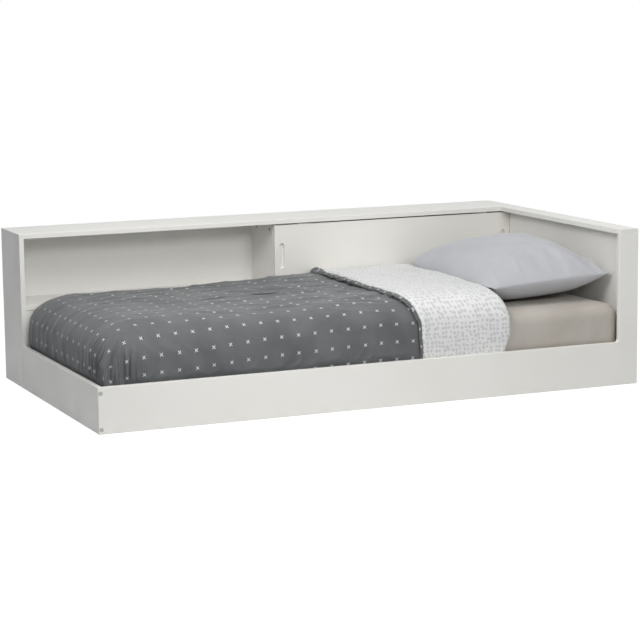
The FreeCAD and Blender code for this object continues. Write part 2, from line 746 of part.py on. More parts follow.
# The fitted sheet is stretched over the mattress and grips it with a hem underneath.
gap, cloth = dim.sheet_gap, dim.sheet_gap + dim.sheet_thick
outer = soft_block(
    "sheet_outer", cloth, dim.slat_top + dim.fit, dim.mattress_high + cloth, dim.mattress_round + cloth,
)
lining = soft_block(
    "sheet_lining", gap, dim.mattress_low - gap, dim.mattress_high + gap, dim.mattress_round + gap,
)
hem = dim.sheet_hem
hem_opening = block(
    "hem_opening",
    (dim.mattress_foot + hem, dim.mattress_foot + dim.mattress_length - hem),
    (dim.mattress_front + hem, dim.mattress_front + dim.mattress_width - hem),
    (dim.slat_top - 1, dim.mattress_low),
)
keep(cut("sheet_cut", outer, [lining, hem_opening]), "fitted_sheet")

# ---------------------------------------------------------------- duvet

# The duvet is drawn as sections across the bed, each with a straight drop behind the front board,
# a round shoulder, a low crown and a round back edge. A row holds the section's place from the
# foot end, how far it is drawn in at its sides, and the heights where the shoulder starts, where
# it ends, of the crown and of the back edge. Its far part is turned down, so it lies double.
duvet_foot = dim.board + dim.duvet_gap
fold, head = dim.duvet_edge, dim.duvet_head
DUVET_SECTIONS = (
    (duvet_foot, 26, 172, 222, 232, 216),
    (duvet_foot + 9, 12, 188, 266, 276, 260),
    (duvet_foot + 22, 4, 200, 294, 304, 290),
    (duvet_foot + 46, 0, 208, 316, 327, 314),
    (duvet_foot + 100, 0, 214, 332, 344, 330),
    (duvet_foot + 300, 0, 218, 337, 354, 340),
    (duvet_foot + 700, 0, 224, 340, 356, 344),
    (fold - 70, 0, 230, 343, 359, 349),
    (fold - 12, 0, 231, 343, 359, 349),
    (fold + 10, 0, 248, 366, 382, 374),
    (fold + 70, 0, 250, 368, 384, 376),
    (head - 130, 0, 252, 367, 383, 376),
    (head - 50, 0, 246, 361, 376, 370),
    (head - 14, 2, 228, 342, 354, 350),
    (head, 8, 205, 312, 322, 318),
)


def duvet_section(along, drawn_in, shoulder, beyond, crown, at_back):
    """One section across the duvet, as a closed wire of lines and arcs."""
    x = along.number - dim.bed_length.number / 2
    middle = dim.bed_width.number / 2
    front = dim.board.number + dim.duvet_gap.number + drawn_in - middle
    back = dim.duvet_back.number - drawn_in - middle
    low, reach, bend = dim.duvet_low.number, dim.duvet_shoulder.number, dim.duvet_bend.number
    foot, start = Vector(x, front, low), Vector(x, front, shoulder)
    round_front = Vector(x, front + reach * 0.2, shoulder + (beyond - shoulder) * 0.74)
    end, top = Vector(x, front + reach, beyond), Vector(x, (front + reach + back) / 2, crown)
    back_top, back_side = Vector(x, back - bend, at_back), Vector(x, back, at_back - bend)
    round_back = Vector(x, back - bend * 0.27, at_back - bend * 0.27)
    back_foot = Vector(x, back, low)
    return Part.Wire([
        Part.LineSegment(foot, start).toShape(),
        Part.Arc(start, round_front, end).toShape(),
        Part.Arc(end, top, back_top).toShape(),
        Part.Arc(back_top, round_back, back_side).toShape(),
        Part.LineSegment(back_side, back_foot).toShape(),
        Part.LineSegment(back_foot, foot).toShape(),
    ])


duvet_form = doc.addObject("Part::Feature", "duvet_form")
duvet_form.Shape = Part.makeLoft([duvet_section(*row) for row in DUVET_SECTIONS], True, True)
under_duvet = soft_block(
    "under_duvet", cloth + gap, dim.slat_top, dim.mattress_high + cloth + gap,
    dim.mattress_round + cloth + gap,
)
keep(cut("duvet_cut", duvet_form, [under_duvet]), "duvet")

# ---------------------------------------------------------------- pillow

# The pillow is drawn as sections across the bed. It swells from its seam to its middle in both
# directions, and its sides draw in between the corners.
ROUNDS = [math.sin(math.radians(angle)) for angle in range(-90, 91, 18)]
THIN_EDGE = 0.07
BELLY = 0.4


def swell(share):
    """How full the pillow is, at a share of the way from its middle to its seam."""
    return (1 - abs(share) ** 2.4) ** 0.7


def pillow_section(share):
    """One section across the pillow: a crown of short runs, and a flatter belly in three."""
    x = share * dim.pillow_width.number / 2
    reach = (0.93 + 0.07 * abs(share) ** 3) * dim.pillow_length.number / 2
    fullness = max(swell(share), THIN_EDGE)
    high, low = fullness * dim.pillow_rise.number, -fullness * dim.pillow_sink.number
    crown = [Vector(x, reach * turn_share, high * swell(turn_share)) for turn_share in ROUNDS]
    belly = [Vector(x, reach * BELLY, low), Vector(x, -reach * BELLY, low)]
    return Part.makePolygon([*crown, *belly, crown[0]])


pillow_form = doc.addObject("Part::Feature", "pillow_form")
pillow_form.Shape = Part.makeLoft([pillow_section(share) for share in ROUNDS], True, True)
turn(pillow_form, FreeCAD.Rotation(DIRECTIONS["+Y"], -dim.pillow_tilt.number))
place(
    pillow_form, dim.pillow_foot + dim.pillow_width / 2, dim.pillow_front + dim.pillow_length / 2,
    dim.pillow_seam,
)

# It is pressed flat where it lies on the sheet and on the edge of the duvet.
across = (zero, dim.bed_width)
on_sheet = block(
    "on_sheet", (dim.duvet_head, dim.bed_length), across,
    (dim.slat_top, dim.mattress_high + cloth + gap),
)
on_duvet = block("on_duvet", (fold, dim.duvet_head + 3), across, (dim.slat_top, dim.pillow_rest))
keep(cut("pillow_cut", pillow_form, [on_sheet, on_duvet]), "pillow")

# ---------------------------------------------------------------- checks and files

doc.recompute()
for item in doc.Objects:
    if {"Invalid", "Error"} & set(item.State):
        raise RuntimeError(f"{item.Label} failed: {item.State}")
for item in pieces:
    shape = item.Shape
    if shape.isNull() or not shape.isValid() or not shape.Solids:
        raise RuntimeError(f"{item.Label} is not a valid solid")
for item in pieces:
    item.Shape.exportStep(f"parts/{item.Label}.step")
    box = item.Shape.BoundBox
    size = f"{box.XLength:.1f} x {box.YLength:.1f} x {box.ZLength:.1f}"
    print(f"{item.Label}: {len(item.Shape.Solids)} solids, {size}")
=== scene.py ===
import bmesh
import bpy
import numpy as np
from mathutils import Matrix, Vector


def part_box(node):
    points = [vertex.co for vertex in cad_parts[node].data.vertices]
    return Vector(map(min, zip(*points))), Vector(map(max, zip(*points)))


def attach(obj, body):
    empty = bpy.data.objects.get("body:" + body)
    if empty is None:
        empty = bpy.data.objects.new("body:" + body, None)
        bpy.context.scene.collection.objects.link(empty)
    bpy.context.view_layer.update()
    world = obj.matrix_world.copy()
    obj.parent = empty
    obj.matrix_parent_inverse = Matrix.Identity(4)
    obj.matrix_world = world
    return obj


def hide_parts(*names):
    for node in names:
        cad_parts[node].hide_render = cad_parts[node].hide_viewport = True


# A bookcase headboard bed of white lacquered boards, made up with a mattress, a fitted sheet, a
# patterned duvet with its top end turned down, and a pillow. The sections follow the bed as it is
# put together. Metres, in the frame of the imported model: +X to the head end, +Y to the bookcase.
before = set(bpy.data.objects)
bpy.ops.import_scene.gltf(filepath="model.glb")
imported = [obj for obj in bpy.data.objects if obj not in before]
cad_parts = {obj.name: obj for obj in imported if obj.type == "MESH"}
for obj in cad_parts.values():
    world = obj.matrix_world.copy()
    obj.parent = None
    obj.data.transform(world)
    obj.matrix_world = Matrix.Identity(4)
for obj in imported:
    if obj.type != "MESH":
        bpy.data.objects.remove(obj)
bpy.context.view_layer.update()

# ---------------------------------------------------------------- lacquered boards

# The bed's body is 18 mm board with a white satin lacquer, sprayed on all faces. The edges are broken
# by a 1 mm bevel, and the bevel's faces are painted a lighter white: a painted highlight on the edges.

LACQUER = (0.83, 0.82, 0.79, 1.0)
LACQUER_CLOUDY = (0.80, 0.79, 0.755, 1.0)
# The edge colour is a painted highlight for the bevelled edges, not a change in the lacquer.
LACQUER_EDGE_HIGHLIGHT = (0.86, 0.85, 0.825, 1.0)
SPRAYED_BOARDS = (
    "front_board", "footboard", "headboard_panel", "headboard_top", "bookcase_top",
    "bookcase_side", "shelf", "divider", "front_panel", "lower_divider",
)


def plug(tree, item, inputs):
    """Gives sockets of a node, each by its name or number, a value or a link."""
    for socket, value in inputs.items():
        if isinstance(value, bpy.types.NodeSocket):
            tree.links.new(value, item.inputs[socket])
        else:
            item.inputs[socket].default_value = value


def shade(tree, kind, inputs, **settings):
    """Adds a shader node with its settings and its inputs."""
    item = tree.nodes.new(f"ShaderNode{kind}")
    for word, value in settings.items():
        setattr(item, word, value)
    plug(tree, item, inputs)
    return item


def new_finish(name):
    """An empty material: its node tree, its main shader, and its coordinates."""
    material = bpy.data.materials.new(name)
    material.use_nodes = True
    tree = material.node_tree
    return material, tree, tree.nodes["Principled BSDF"], tree.nodes.new("ShaderNodeTexCoord").outputs


def spread(tree, value, low, high, to_low=0.0, to_high=1.0):
    """Spreads a value from one range to another, and holds it at the ends."""
    ends = {"Value": value, "From Min": low, "From Max": high, "To Min": to_low, "To Max": to_high}
    return shade(tree, "MapRange", ends, interpolation_type="SMOOTHSTEP").outputs["Result"]


def blend(tree, factor, first, second):
    """Mixes two colours, each a value or a link."""
    return shade(tree, "Mix", {"Factor": factor, 6: first, 7: second}, data_type="RGBA").outputs[2]


def noise(tree, place, scale, detail, distortion=0.0):
    """Cloudy noise from 0 to 1."""
    inputs = {"Vector": place, "Scale": scale, "Detail": detail, "Distortion": distortion}
    return shade(tree, "TexNoise", inputs).outputs["Fac"]


def bumps(tree, height, strength, distance, below=None):
    """The surface's normals as a height bends them, on top of the bumps below."""
    inputs = {"Strength": strength, "Distance": distance, "Height": height}
    if below is not None:
        inputs["Normal"] = below
    return shade(tree, "Bump", inputs).outputs[0]


def work_out(tree, operation, *values):
    """One step of arithmetic, with values or links."""
    return shade(tree, "Math", dict(enumerate(values)), operation=operation).outputs[0]


def lacquer(name, number, plain=LACQUER, cloudy=LACQUER_CLOUDY):
    """Sprayed lacquer: soft clouds in its tone, orange peel, and a painted highlight where a face
    slants.

    The number shifts the clouds, so that no two boards show the same ones.
    """
    material, tree, surface, place = new_finish(name)
    shift = {"Vector": place["Object"], "Location": (number * 1.7, number * 0.9, 0)}
    shifted = shade(tree, "Mapping", shift).outputs[0]
    tone = blend(tree, spread(tree, noise(tree, shifted, 2.2, 3.0), 0.35, 0.7), plain, cloudy)
    facing = shade(tree, "SeparateXYZ", {0: place["Normal"]}).outputs
    steep = [work_out(tree, "ABSOLUTE", facing[axis]) for axis in range(3)]
    most = work_out(tree, "MAXIMUM", work_out(tree, "MAXIMUM", steep[0], steep[1]), steep[2])
    # Faces that slant, the bevels, are blended to the lighter edge colour: a painted highlight.
    slanting = spread(tree, most, 0.75, 0.95, 1.0, 0.0)
    smears = noise(tree, shifted, 9.0, 5.0, 1.2)
    peel = noise(tree, place["Object"], 420.0, 1.0)
    plug(tree, surface, {
        "Base Color": blend(tree, slanting, tone, LACQUER_EDGE_HIGHLIGHT),
        "Roughness": spread(tree, smears, 0.3, 0.75, 0.36, 0.46),
        "Normal": bumps(tree, peel, 0.12, 0.0004),
        "Specular IOR Level": 0.4,
    })
    return material


def wear(node, material):
    """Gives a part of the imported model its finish."""
    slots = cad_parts[node].data.materials
    for number in range(len(slots)):
        slots[number] = material
    if not slots:
        slots.append(material)


for number, board in enumerate(SPRAYED_BOARDS):
    wear(board, lacquer(f"{board}_lacquer", number))

# ---------------------------------------------------------------- sliding door

# The door is a 16 mm board in the same lacquer, a little warmer, with two routed finger grips.
# It runs on nylon runners in a channel of white plastic in the shelf, and sprung guides of the
# same nylon hold it upright in the channel of the top board.

DOOR_LACQUER = (0.83, 0.82, 0.78, 1.0)
DOOR_CLOUDY = (0.80, 0.79, 0.745, 1.0)
TRACK_WHITE = (0.74, 0.74, 0.725, 1.0)
TRACK_RUBBED = (0.62, 0.62, 0.60, 1.0)
NYLON_MILKY = (0.66, 0.655, 0.63, 1.0)
NYLON_RUBBED = (0.52, 0.51, 0.48, 1.0)

wear("sliding_door", lacquer("door_lacquer", 11, DOOR_LACQUER, DOOR_CLOUDY))


def moulded(name, plain, rubbed, fineness):
    """Extruded or moulded plastic, rubbed in fine streaks along the door's way."""
    material, tree, surface, place = new_finish(name)
    drawn_out = {"Vector": place["Object"], "Scale": (6.0, fineness, fineness)}
    streaks = noise(tree, shade(tree, "Mapping", drawn_out).outputs[0], 1.0, 4.0)
    plug(tree, surface, {
        "Base Color": blend(tree, spread(tree, streaks, 0.45, 0.7), plain, rubbed),
        "Roughness": spread(tree, streaks, 0.3, 0.7, 0.42, 0.6),
        "Normal": bumps(tree, streaks, 0.2, 0.0002),
    })
    return material


channel = moulded("track_plastic", TRACK_WHITE, TRACK_RUBBED, 900.0)
for node in ("low_track", "top_track"):
    wear(node, channel)
nylon = moulded("runner_nylon", NYLON_MILKY, NYLON_RUBBED, 500.0)
for node in ("door_runners", "door_guides"):
    wear(node, nylon)

# ---------------------------------------------------------------- back panels

# Two sheets of 4 mm hardboard close the bookcase's back. Their face is painted white, and the
# pressed fibres show through the thin paint.

PAINTED = (0.83, 0.825, 0.80, 1.0)
FIBRES = (0.76, 0.745, 0.71, 1.0)

hardboard, tree, surface, place = new_finish("painted_hardboard")
fibres = noise(tree, place["Object"], 260.0, 6.0, 2.0)
plug(tree, surface, {
    "Base Color": blend(tree, spread(tree, fibres, 0.5, 0.75), PAINTED, FIBRES),
    "Roughness": 0.62,
    "Normal": bumps(tree, fibres, 0.3, 0.0004),
})
for node in ("back_panel_foot", "back_panel_head"):
    wear(node, hardboard)

# ---------------------------------------------------------------- fittings

# Corner bolts, barrel nuts, cam bolts, the angle and its screws are zinc-plated steel. The cams
# are die-cast zinc, duller and darker, and the dowels are beech, pressed in with glue.

PLATED = (0.44, 0.44, 0.425, 1.0)
PLATED_DULL = (0.32, 0.32, 0.31, 1.0)
CAST = (0.44, 0.44, 0.43, 1.0)
CAST_DULL = (0.30, 0.30, 0.29, 1.0)
BEECH_PALE, BEECH_DARK = (0.62, 0.42, 0.26, 1.0), (0.48, 0.30, 0.17, 1.0)


def plated(name, bright, dull, rough):
    """Zinc with spangled patches in its tone, and fine scratches in its gloss."""
    material, tree, surface, place = new_finish(name)
    spangle = shade(tree, "TexVoronoi", {"Vector": place["Object"], "Scale": 700.0})
    patches = spread(tree, spangle.outputs["Distance"], 0.2, 0.8)
    scratches = noise(tree, place["Object"], 1600.0, 3.0)
    plug(tree, surface, {
        "Base Color": blend(tree, patches, bright, dull),
        "Roughness": spread(tree, scratches, 0.3, 0.7, rough, rough + 0.18),
        "Normal": bumps(tree, scratches, 0.25, 0.0001),
        "Metallic": 0.9,
    })
    return material


zinc = plated("zinc_plated_steel", PLATED, PLATED_DULL, 0.34)
for node in ("corner_bolts", "barrel_nuts", "cam_bolts", "bracket", "bracket_screws"):
    wear(node, zinc)
wear("cams", plated("cast_zinc", CAST, CAST_DULL, 0.48))


def timber(name, pale, dark, grain, rings, figure):
    """Planed wood: growth rings as bent bands across the grain, and short dark pores along it."""
    material, tree, surface, place = new_finish(name)
    along = shade(tree, "Mapping", {"Vector": place["Object"], "Scale": grain}).outputs[0]
    bent = {"Vector": along, "Scale": rings, "Distortion": figure, "Detail": 3.0, "Detail Scale": 0.6}
    bands = shade(tree, "TexWave", bent, wave_type="RINGS", rings_direction="SPHERICAL")
    figured = blend(tree, spread(tree, bands.outputs["Fac"], 0.2, 0.9), pale, dark)
    pores = noise(tree, along, 60.0, 4.0)
    pore_tone = tuple(part * 0.6 for part in dark[:3]) + (1.0,)
    plug(tree, surface, {
        "Base Color": blend(tree, spread(tree, pores, 0.58, 0.72, 0.0, 0.45), figured, pore_tone),
        "Roughness": 0.6,
        "Normal": bumps(tree, pores, 0.25, 0.0003),
    })
    return material


wear("dowels", timber("beech", BEECH_PALE, BEECH_DARK, (3, 3, 3), 30.0, 3.0))

# ---------------------------------------------------------------- slatted base

# Two pine battens are screwed along the long sides, and carry fourteen loose slats of birch
# plywood. Two straps of woven webbing are tacked under the slats and keep them apart.

PINE_PALE, PINE_DARK = (0.70, 0.52, 0.32, 1.0), (0.55, 0.36, 0.19, 1.0)
BIRCH_PALE, BIRCH_DARK = (0.74, 0.60, 0.42, 1.0), (0.62, 0.47, 0.30, 1.0)
WEBBING, WEBBING_SHADOW = (0.60, 0.57, 0.51, 1.0), (0.34, 0.32, 0.28, 1.0)
YARN = 0.0016

pine = timber("pine", PINE_PALE, PINE_DARK, (0.5, 9, 9), 4.0, 5.0)
birch = timber("birch", BIRCH_PALE, BIRCH_DARK, (11, 0.8, 11), 3.0, 4.0)
for node in ("front_ledger", "back_ledger"):
    wear(node, pine)
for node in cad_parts:
    if node.startswith("slat_"):
        wear(node, birch)


def waves(tree, place, scale, axis, **settings):
    """Even bands along an axis, from 0 to 1."""
    inputs = {"Vector": place, "Scale": scale}
    return shade(tree, "TexWave", inputs, bands_direction=axis, **settings).outputs["Fac"]


webbing, tree, surface, place = new_finish("woven_webbing")
yarns = [waves(tree, place["Object"], 0.5 / YARN, axis) for axis in "XY"]
crossed = work_out(tree, "MULTIPLY", *yarns)
plug(tree, surface, {
    "Base Color": blend(tree, crossed, WEBBING_SHADOW, WEBBING),
    "Roughness": 0.85,
    "Normal": bumps(tree, crossed, 0.5, 0.0004),
})
for node in ("front_strap", "back_strap"):
    wear(node, webbing)

# ---------------------------------------------------------------- mattress

# A foam mattress of 90 by 200 cm in a quilted white ticking. Its cover is zipped on, and it lies
# loose on the slats, so its lower edges are crisper than its upper ones.

MATTRESS_ROUND = 0.046
MATTRESS_CROWN = 0.004
MATTRESS_FOOT = 0.012
# The darker ticking tone is painted shade in the dips along the quilting's seams.
TICKING, TICKING_DIP_SHADE = (0.74, 0.73, 0.70, 1.0), (0.60, 0.59, 0.56, 1.0)
QUILT_PITCH, QUILT_TURN = 0.09, 0.785
WAVE_LENGTH = 0.314  # from band to band of a wave texture of scale 1


def round_plan(low, high, radius, count, gathered=None):
    """Points round a rectangle with round corners, evenly spaced, and the spine that they face.

    The points go anticlockwise. The spine is the middle line that is as far from both long sides,
    and each point faces the spot on it that is nearest. Near a gathered spot they lie closer.
    """
    half = (np.array(high) - low) / 2
    middle = (np.array(high) + low) / 2
    turns = np.linspace(0, np.pi / 2, 13)
    corners = []
    for side_x, side_y, start in ((1, 1, 0), (-1, 1, 1), (-1, -1, 2), (1, -1, 3)):
        angle = turns + start * np.pi / 2
        centre = (half - radius) * (side_x, side_y)
        corners.append(centre + radius * np.stack([np.cos(angle), np.sin(angle)], axis=1))
    path = np.concatenate([*corners, corners[0][:1]])
    lengths = np.concatenate([[0], np.cumsum(np.linalg.norm(np.diff(path, axis=0), axis=1))])
    fine = np.linspace(0, lengths[-1], 8000)
    plan = np.stack([np.interp(fine, lengths, path[:, axis]) for axis in (0, 1)], axis=1)
    crowd = np.ones(len(fine))
    if gathered is not None:
        away = np.linalg.norm(plan + middle - gathered, axis=1)
        crowd += 3 * np.exp(-((away / 0.16) ** 2))
    counted = np.cumsum(crowd) - crowd[0]
    steps = np.interp(np.linspace(0, counted[-1], count, endpoint=False), counted, fine)
    plan = np.stack([np.interp(steps, lengths, path[:, axis]) for axis in (0, 1)], axis=1)
    reach = max(half[0] - half[1], 0.0)
    spine = np.stack([np.clip(plan[:, 0], -reach, reach), np.zeros(count)], axis=1)
    return plan + middle, spine + middle


def inset_depth(x, y, low, high, radius):
    """How far a place lies inside a rectangle with round corners, by its nearest edge."""
    half = (np.array(high) - low) / 2
    across = np.abs(x - (high[0] + low[0]) / 2) - (half[0] - radius)
    back = np.abs(y - (high[1] + low[1]) / 2) - (half[1] - radius)
    outside = np.hypot(np.maximum(across, 0), np.maximum(back, 0))
    return radius - outside - np.minimum(np.maximum(across, back), 0)


def skin(name, rows):
    """Makes a mesh from rows of points. Each row runs round the piece, and quads join the rows.

    rows has the shape (row, point, 3). The last point of a row joins its first one.
    """
    count, round_count = rows.shape[:2]
    index = np.arange(count * round_count).reshape(count, round_count)
    ahead = np.roll(index, -1, axis=1)
    quads = np.stack([index[:-1], ahead[:-1], ahead[1:], index[1:]], axis=-1).reshape(-1, 4)
    mesh = bpy.data.meshes.new(name)
    mesh.vertices.add(count * round_count)
    mesh.vertices.foreach_set("co", rows.reshape(-1).astype(np.float32))
    mesh.loops.add(quads.size)
    mesh.loops.foreach_set("vertex_index", quads.reshape(-1).astype(np.int32))
    mesh.polygons.add(len(quads))
    mesh.polygons.foreach_set("loop_start", np.arange(0, quads.size, 4, dtype=np.int32))
    mesh.update(calc_edges=True)
    mesh.validate()
    mesh.shade_smooth()
    piece = bpy.data.objects.new(name, mesh)
    bpy.context.scene.collection.objects.link(piece)
    return piece


def lay_flat_pattern(piece, across, back):
    """Gives the mesh a UV map in metres of cloth, from each point's two lengths along it."""
    mesh = piece.data
    corner = np.zeros(len(mesh.loops), dtype=np.int32)
    mesh.loops.foreach_get("vertex_index", corner)
    flat = np.stack([across.reshape(-1)[corner], back.reshape(-1)[corner]], axis=1)
    mesh.uv_layers.new(name="Cloth").data.foreach_set("uv", flat.reshape(-1).astype(np.float32))


def close_up(piece):
    """Merges points that share a place, fills open ends, and turns all faces outwards."""
    work = bmesh.new()
    work.from_mesh(piece.data)
    bmesh.ops.remove_doubles(work, verts=work.verts, dist=0.00005)
    bmesh.ops.dissolve_degenerate(work, edges=work.edges, dist=0.00001)
    bmesh.ops.holes_fill(work, edges=[edge for edge in work.edges if edge.is_boundary])
    bmesh.ops.recalc_face_normals(work, faces=work.faces)
    work.to_mesh(piece.data)
    work.free()
    piece.data.shade_smooth()
    return piece


def edge_rows(low_z, high_z, radius, foot_round):
    """Insets and heights up the side of a block and over its round upper edge.

    A quarter circle turns the underside up, a straight run follows the side, and a second quarter
    circle turns it over the top.
    """
    turn = np.linspace(0, np.pi / 2, 9)
    inset = np.concatenate([foot_round * (1 - np.sin(turn)), np.zeros(6), radius * (1 - np.cos(turn))])
    rise = np.concatenate([
        low_z + foot_round * (1 - np.cos(turn)),
        np.linspace(low_z + foot_round, high_z - radius, 8)[1:-1],
        high_z - radius + radius * np.sin(turn),
    ])
    return inset, rise


def inward(plan, spine):
    """How far each point of a plan is from the spot on the spine that it faces, and the way there."""
    width = np.linalg.norm(spine - plan, axis=1, keepdims=True)
    return width, (spine - plan) / width


def ring(plan, way, step, level):
    """A row of points at one level, each a step inside its point of the plan."""
    return np.column_stack([plan + way * step, np.full(len(plan), level)])


mattress_low, mattress_high = (np.array(corner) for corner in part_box("mattress"))
plan, spine = round_plan(mattress_low[:2], mattress_high[:2], MATTRESS_ROUND, 280)
width, way = inward(plan, spine)
inset, rise = edge_rows(
    mattress_low[2], mattress_high[2] - MATTRESS_CROWN, MATTRESS_ROUND, MATTRESS_FOOT
)
under = [
    ring(plan, way, MATTRESS_FOOT + (width - MATTRESS_FOOT) * share, mattress_low[2])
    for share in (1.0, 0.5)
]
side = [ring(plan, way, step, level) for step, level in zip(inset, rise)]
top = []
for share in (0.25, 0.45, 0.7, 1.0):
    level = mattress_high[2] - MATTRESS_CROWN * (1 - share) ** 2
    top.append(ring(plan, way, MATTRESS_ROUND + (width - MATTRESS_ROUND) * share, level))
mattress = close_up(skin("mattress_in_ticking", np.array([*under, *side, *top])))

ticking, tree, surface, place = new_finish("quilted_ticking")
slanted = {"Vector": place["Object"], "Rotation": (0, 0, QUILT_TURN)}
diamonds = shade(tree, "Mapping", slanted).outputs[0]
seams = [waves(tree, diamonds, WAVE_LENGTH / QUILT_PITCH, axis, wave_profile="TRI") for axis in "XY"]
# The base colour darkens towards each seam of the quilting: painted shade in its dips.
puffed = spread(tree, work_out(tree, "MINIMUM", *seams), 0.0, 0.35)
knit = noise(tree, place["Object"], 900.0, 2.0)
plug(tree, surface, {
    "Base Color": blend(tree, puffed, TICKING_DIP_SHADE, TICKING),
    "Roughness": 0.85,
    "Normal": bumps(tree, knit, 0.2, 0.0004, bumps(tree, puffed, 0.6, 0.004)),
})
mattress.data.materials.append(ticking)
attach(mattress, "frame")
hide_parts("mattress")

# ---------------------------------------------------------------- fitted sheet

# A fitted sheet of taupe cotton jersey, sewn at its corners and pulled tight over the mattress.
# An elastic hem grips it underneath. Short drag lines run in from the corners and the pillow.

SHEET_CLOTH = 0.0012
SHEET_HEM = 0.07
SHEET_ROUND = MATTRESS_ROUND + 0.002
SHEET_FOOT = 0.006
SHEET_TAUPE, SHEET_SHADE = (0.50, 0.465, 0.425, 1.0), (0.445, 0.41, 0.37, 1.0)
JERSEY_RIB = 0.0009


def lattice(seed):
    """A table of random numbers from 0 to 1 for soft noise, the same on each run."""
    return np.random.default_rng(seed).random((64, 64))


def soft_noise(u, v, seed):
    """Smooth noise from -1 to 1: a lattice of random numbers, blended by smoothstep between."""
    table = lattice(seed)
    column, row = np.floor(u).astype(int), np.floor(v).astype(int)
    s, t = u - column, v - row
    s, t = s * s * (3 - 2 * s), t * t * (3 - 2 * t)
    near = table[row % 64, column % 64] * (1 - s) + table[row % 64, (column + 1) % 64] * s
    far = table[(row + 1) % 64, column % 64] * (1 - s) + table[(row + 1) % 64, (column + 1) % 64] * s
    return (near * (1 - t) + far * t) * 2 - 1


def ridges(u, v, seed, sharp=2.0):
    """Crease noise from 0 to 1: narrow crests where soft noise passes through nought."""
    return (1 - np.abs(soft_noise(u, v, seed))) ** sharp


def rising(gap, width):
    """0 up to a gap of nought, then evenly up to 1 at a gap of that width."""
    return np.clip(gap / width, 0, 1)


def near_edge(gap, width):
    """1 at an edge, then evenly down to 0 at a gap of that width."""
    return np.clip(1 - gap / width, 0, 1)


def woven(name, plain, shaded, thread, rough, sheen, stretch=(1, 1)):
    """Plain cloth from its own UV map in metres: crossing threads, uneven dye and a soft sheen."""
    material, tree, surface, place = new_finish(name)
    cloth = place["UV"]
    tone = blend(tree, spread(tree, noise(tree, cloth, 7.0, 4.0), 0.35, 0.7), plain, shaded)
    threads = [
        waves(tree, cloth, WAVE_LENGTH / thread * part, axis) for part, axis in zip(stretch, "XY")
    ]
    weave = bumps(tree, work_out(tree, "ADD", *threads), 0.25, thread * 0.4)
    plug(tree, surface, {
        "Base Color": tone,
        "Normal": bumps(tree, noise(tree, cloth, 240.0, 3.0), 0.15, 0.0006, weave),
        "Roughness": rough,
        "Sheen Weight": sheen,
        "Sheen Roughness": 0.5,
        "Specular IOR Level": 0.25,
    })
    return material, tree, surface, cloth, tone


sheet_low, sheet_high = (np.array(corner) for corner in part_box("fitted_sheet"))


def sheet_depth(x, y):
    """How far a place in plan lies inside the sheet's edge."""
    return inset_depth(x, y, sheet_low[:2], sheet_high[:2], SHEET_ROUND)


def sheet_height(x, y):
    """The sheet's upper face: a level top with a quarter circle down to each edge."""
    short = np.clip(SHEET_ROUND - sheet_depth(x, y), 0, SHEET_ROUND)
    return sheet_high[2] - SHEET_ROUND + np.sqrt(SHEET_ROUND**2 - short**2)


plan, spine = round_plan(sheet_low[:2], sheet_high[:2], SHEET_ROUND, 900)
width, way = inward(plan, spine)
inset, rise = edge_rows(sheet_low[2], sheet_high[2], SHEET_ROUND, SHEET_FOOT)
depths = np.concatenate([np.linspace(SHEET_HEM, 0.012, 5), inset])
levels = np.concatenate([np.full(5, sheet_low[2]), rise])
side = [ring(plan, way, step, level) for step, level in zip(depths, levels)]
top = [
    ring(plan, way, SHEET_ROUND + (width - SHEET_ROUND) * share, sheet_high[2])
    for share in np.linspace(0, 1, 56)[1:] ** 1.2
]
outer = np.array([*side, *top])
x, y, z = outer[..., 0], outer[..., 1], outer[..., 2]
near_head = rising(x - 0.45, 0.3)
drag = ridges(x * 9 + y * 14, x * 3 - y * 4, 3, 3.0) * 0.0016 + soft_noise(x * 5, y * 6, 4) * 0.0010
on_top = rising(z - sheet_high[2] + 0.03, 0.03)
upright = rising(z - sheet_low[2] - 0.02, 0.03) * (1 - on_top)
pull = ridges(x * 16 + z * 3, z * 5, 5, 2.5) * 0.0014
outer[..., 2] += (drag - 0.0012) * on_top * near_head
outer[..., 1] -= pull * upright * near_head * (y < 0)
lining = outer.copy()
side_share = rising(sheet_high[2] - 0.0005 - z, SHEET_ROUND)
below = z < sheet_low[2] + 0.003
lining[..., :2] += (way[None] * SHEET_CLOTH) * (side_share * ~below)[..., None]
lining[..., 2] += SHEET_CLOTH * np.where(below, 1, -(1 - side_share))
fitted_sheet = skin("fitted_sheet_cloth", np.concatenate([lining[::-1], outer]))
drop = np.clip(sheet_high[2] - z, 0, None)
cloth_x, cloth_y = x - drop * way[:, 0], y - drop * way[:, 1]
both_x, both_y = (np.concatenate([length[::-1], length]) for length in (cloth_x, cloth_y))
lay_flat_pattern(fitted_sheet, both_x, both_y)
close_up(fitted_sheet)
jersey = woven("taupe_jersey", SHEET_TAUPE, SHEET_SHADE, JERSEY_RIB, 0.8, 0.15, (1, 0.5))[0]
fitted_sheet.data.materials.append(jersey)
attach(fitted_sheet, "frame")
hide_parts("fitted_sheet")

# ---------------------------------------------------------------- duvet

# A single duvet in a cotton cover, charcoal with small white crosses printed on a square grid.
# It is tucked in behind the front board and the footboard, where the spare cloth is gathered, and
# hangs in soft folds over the mattress's edge. Under its turned-down end it lies double.

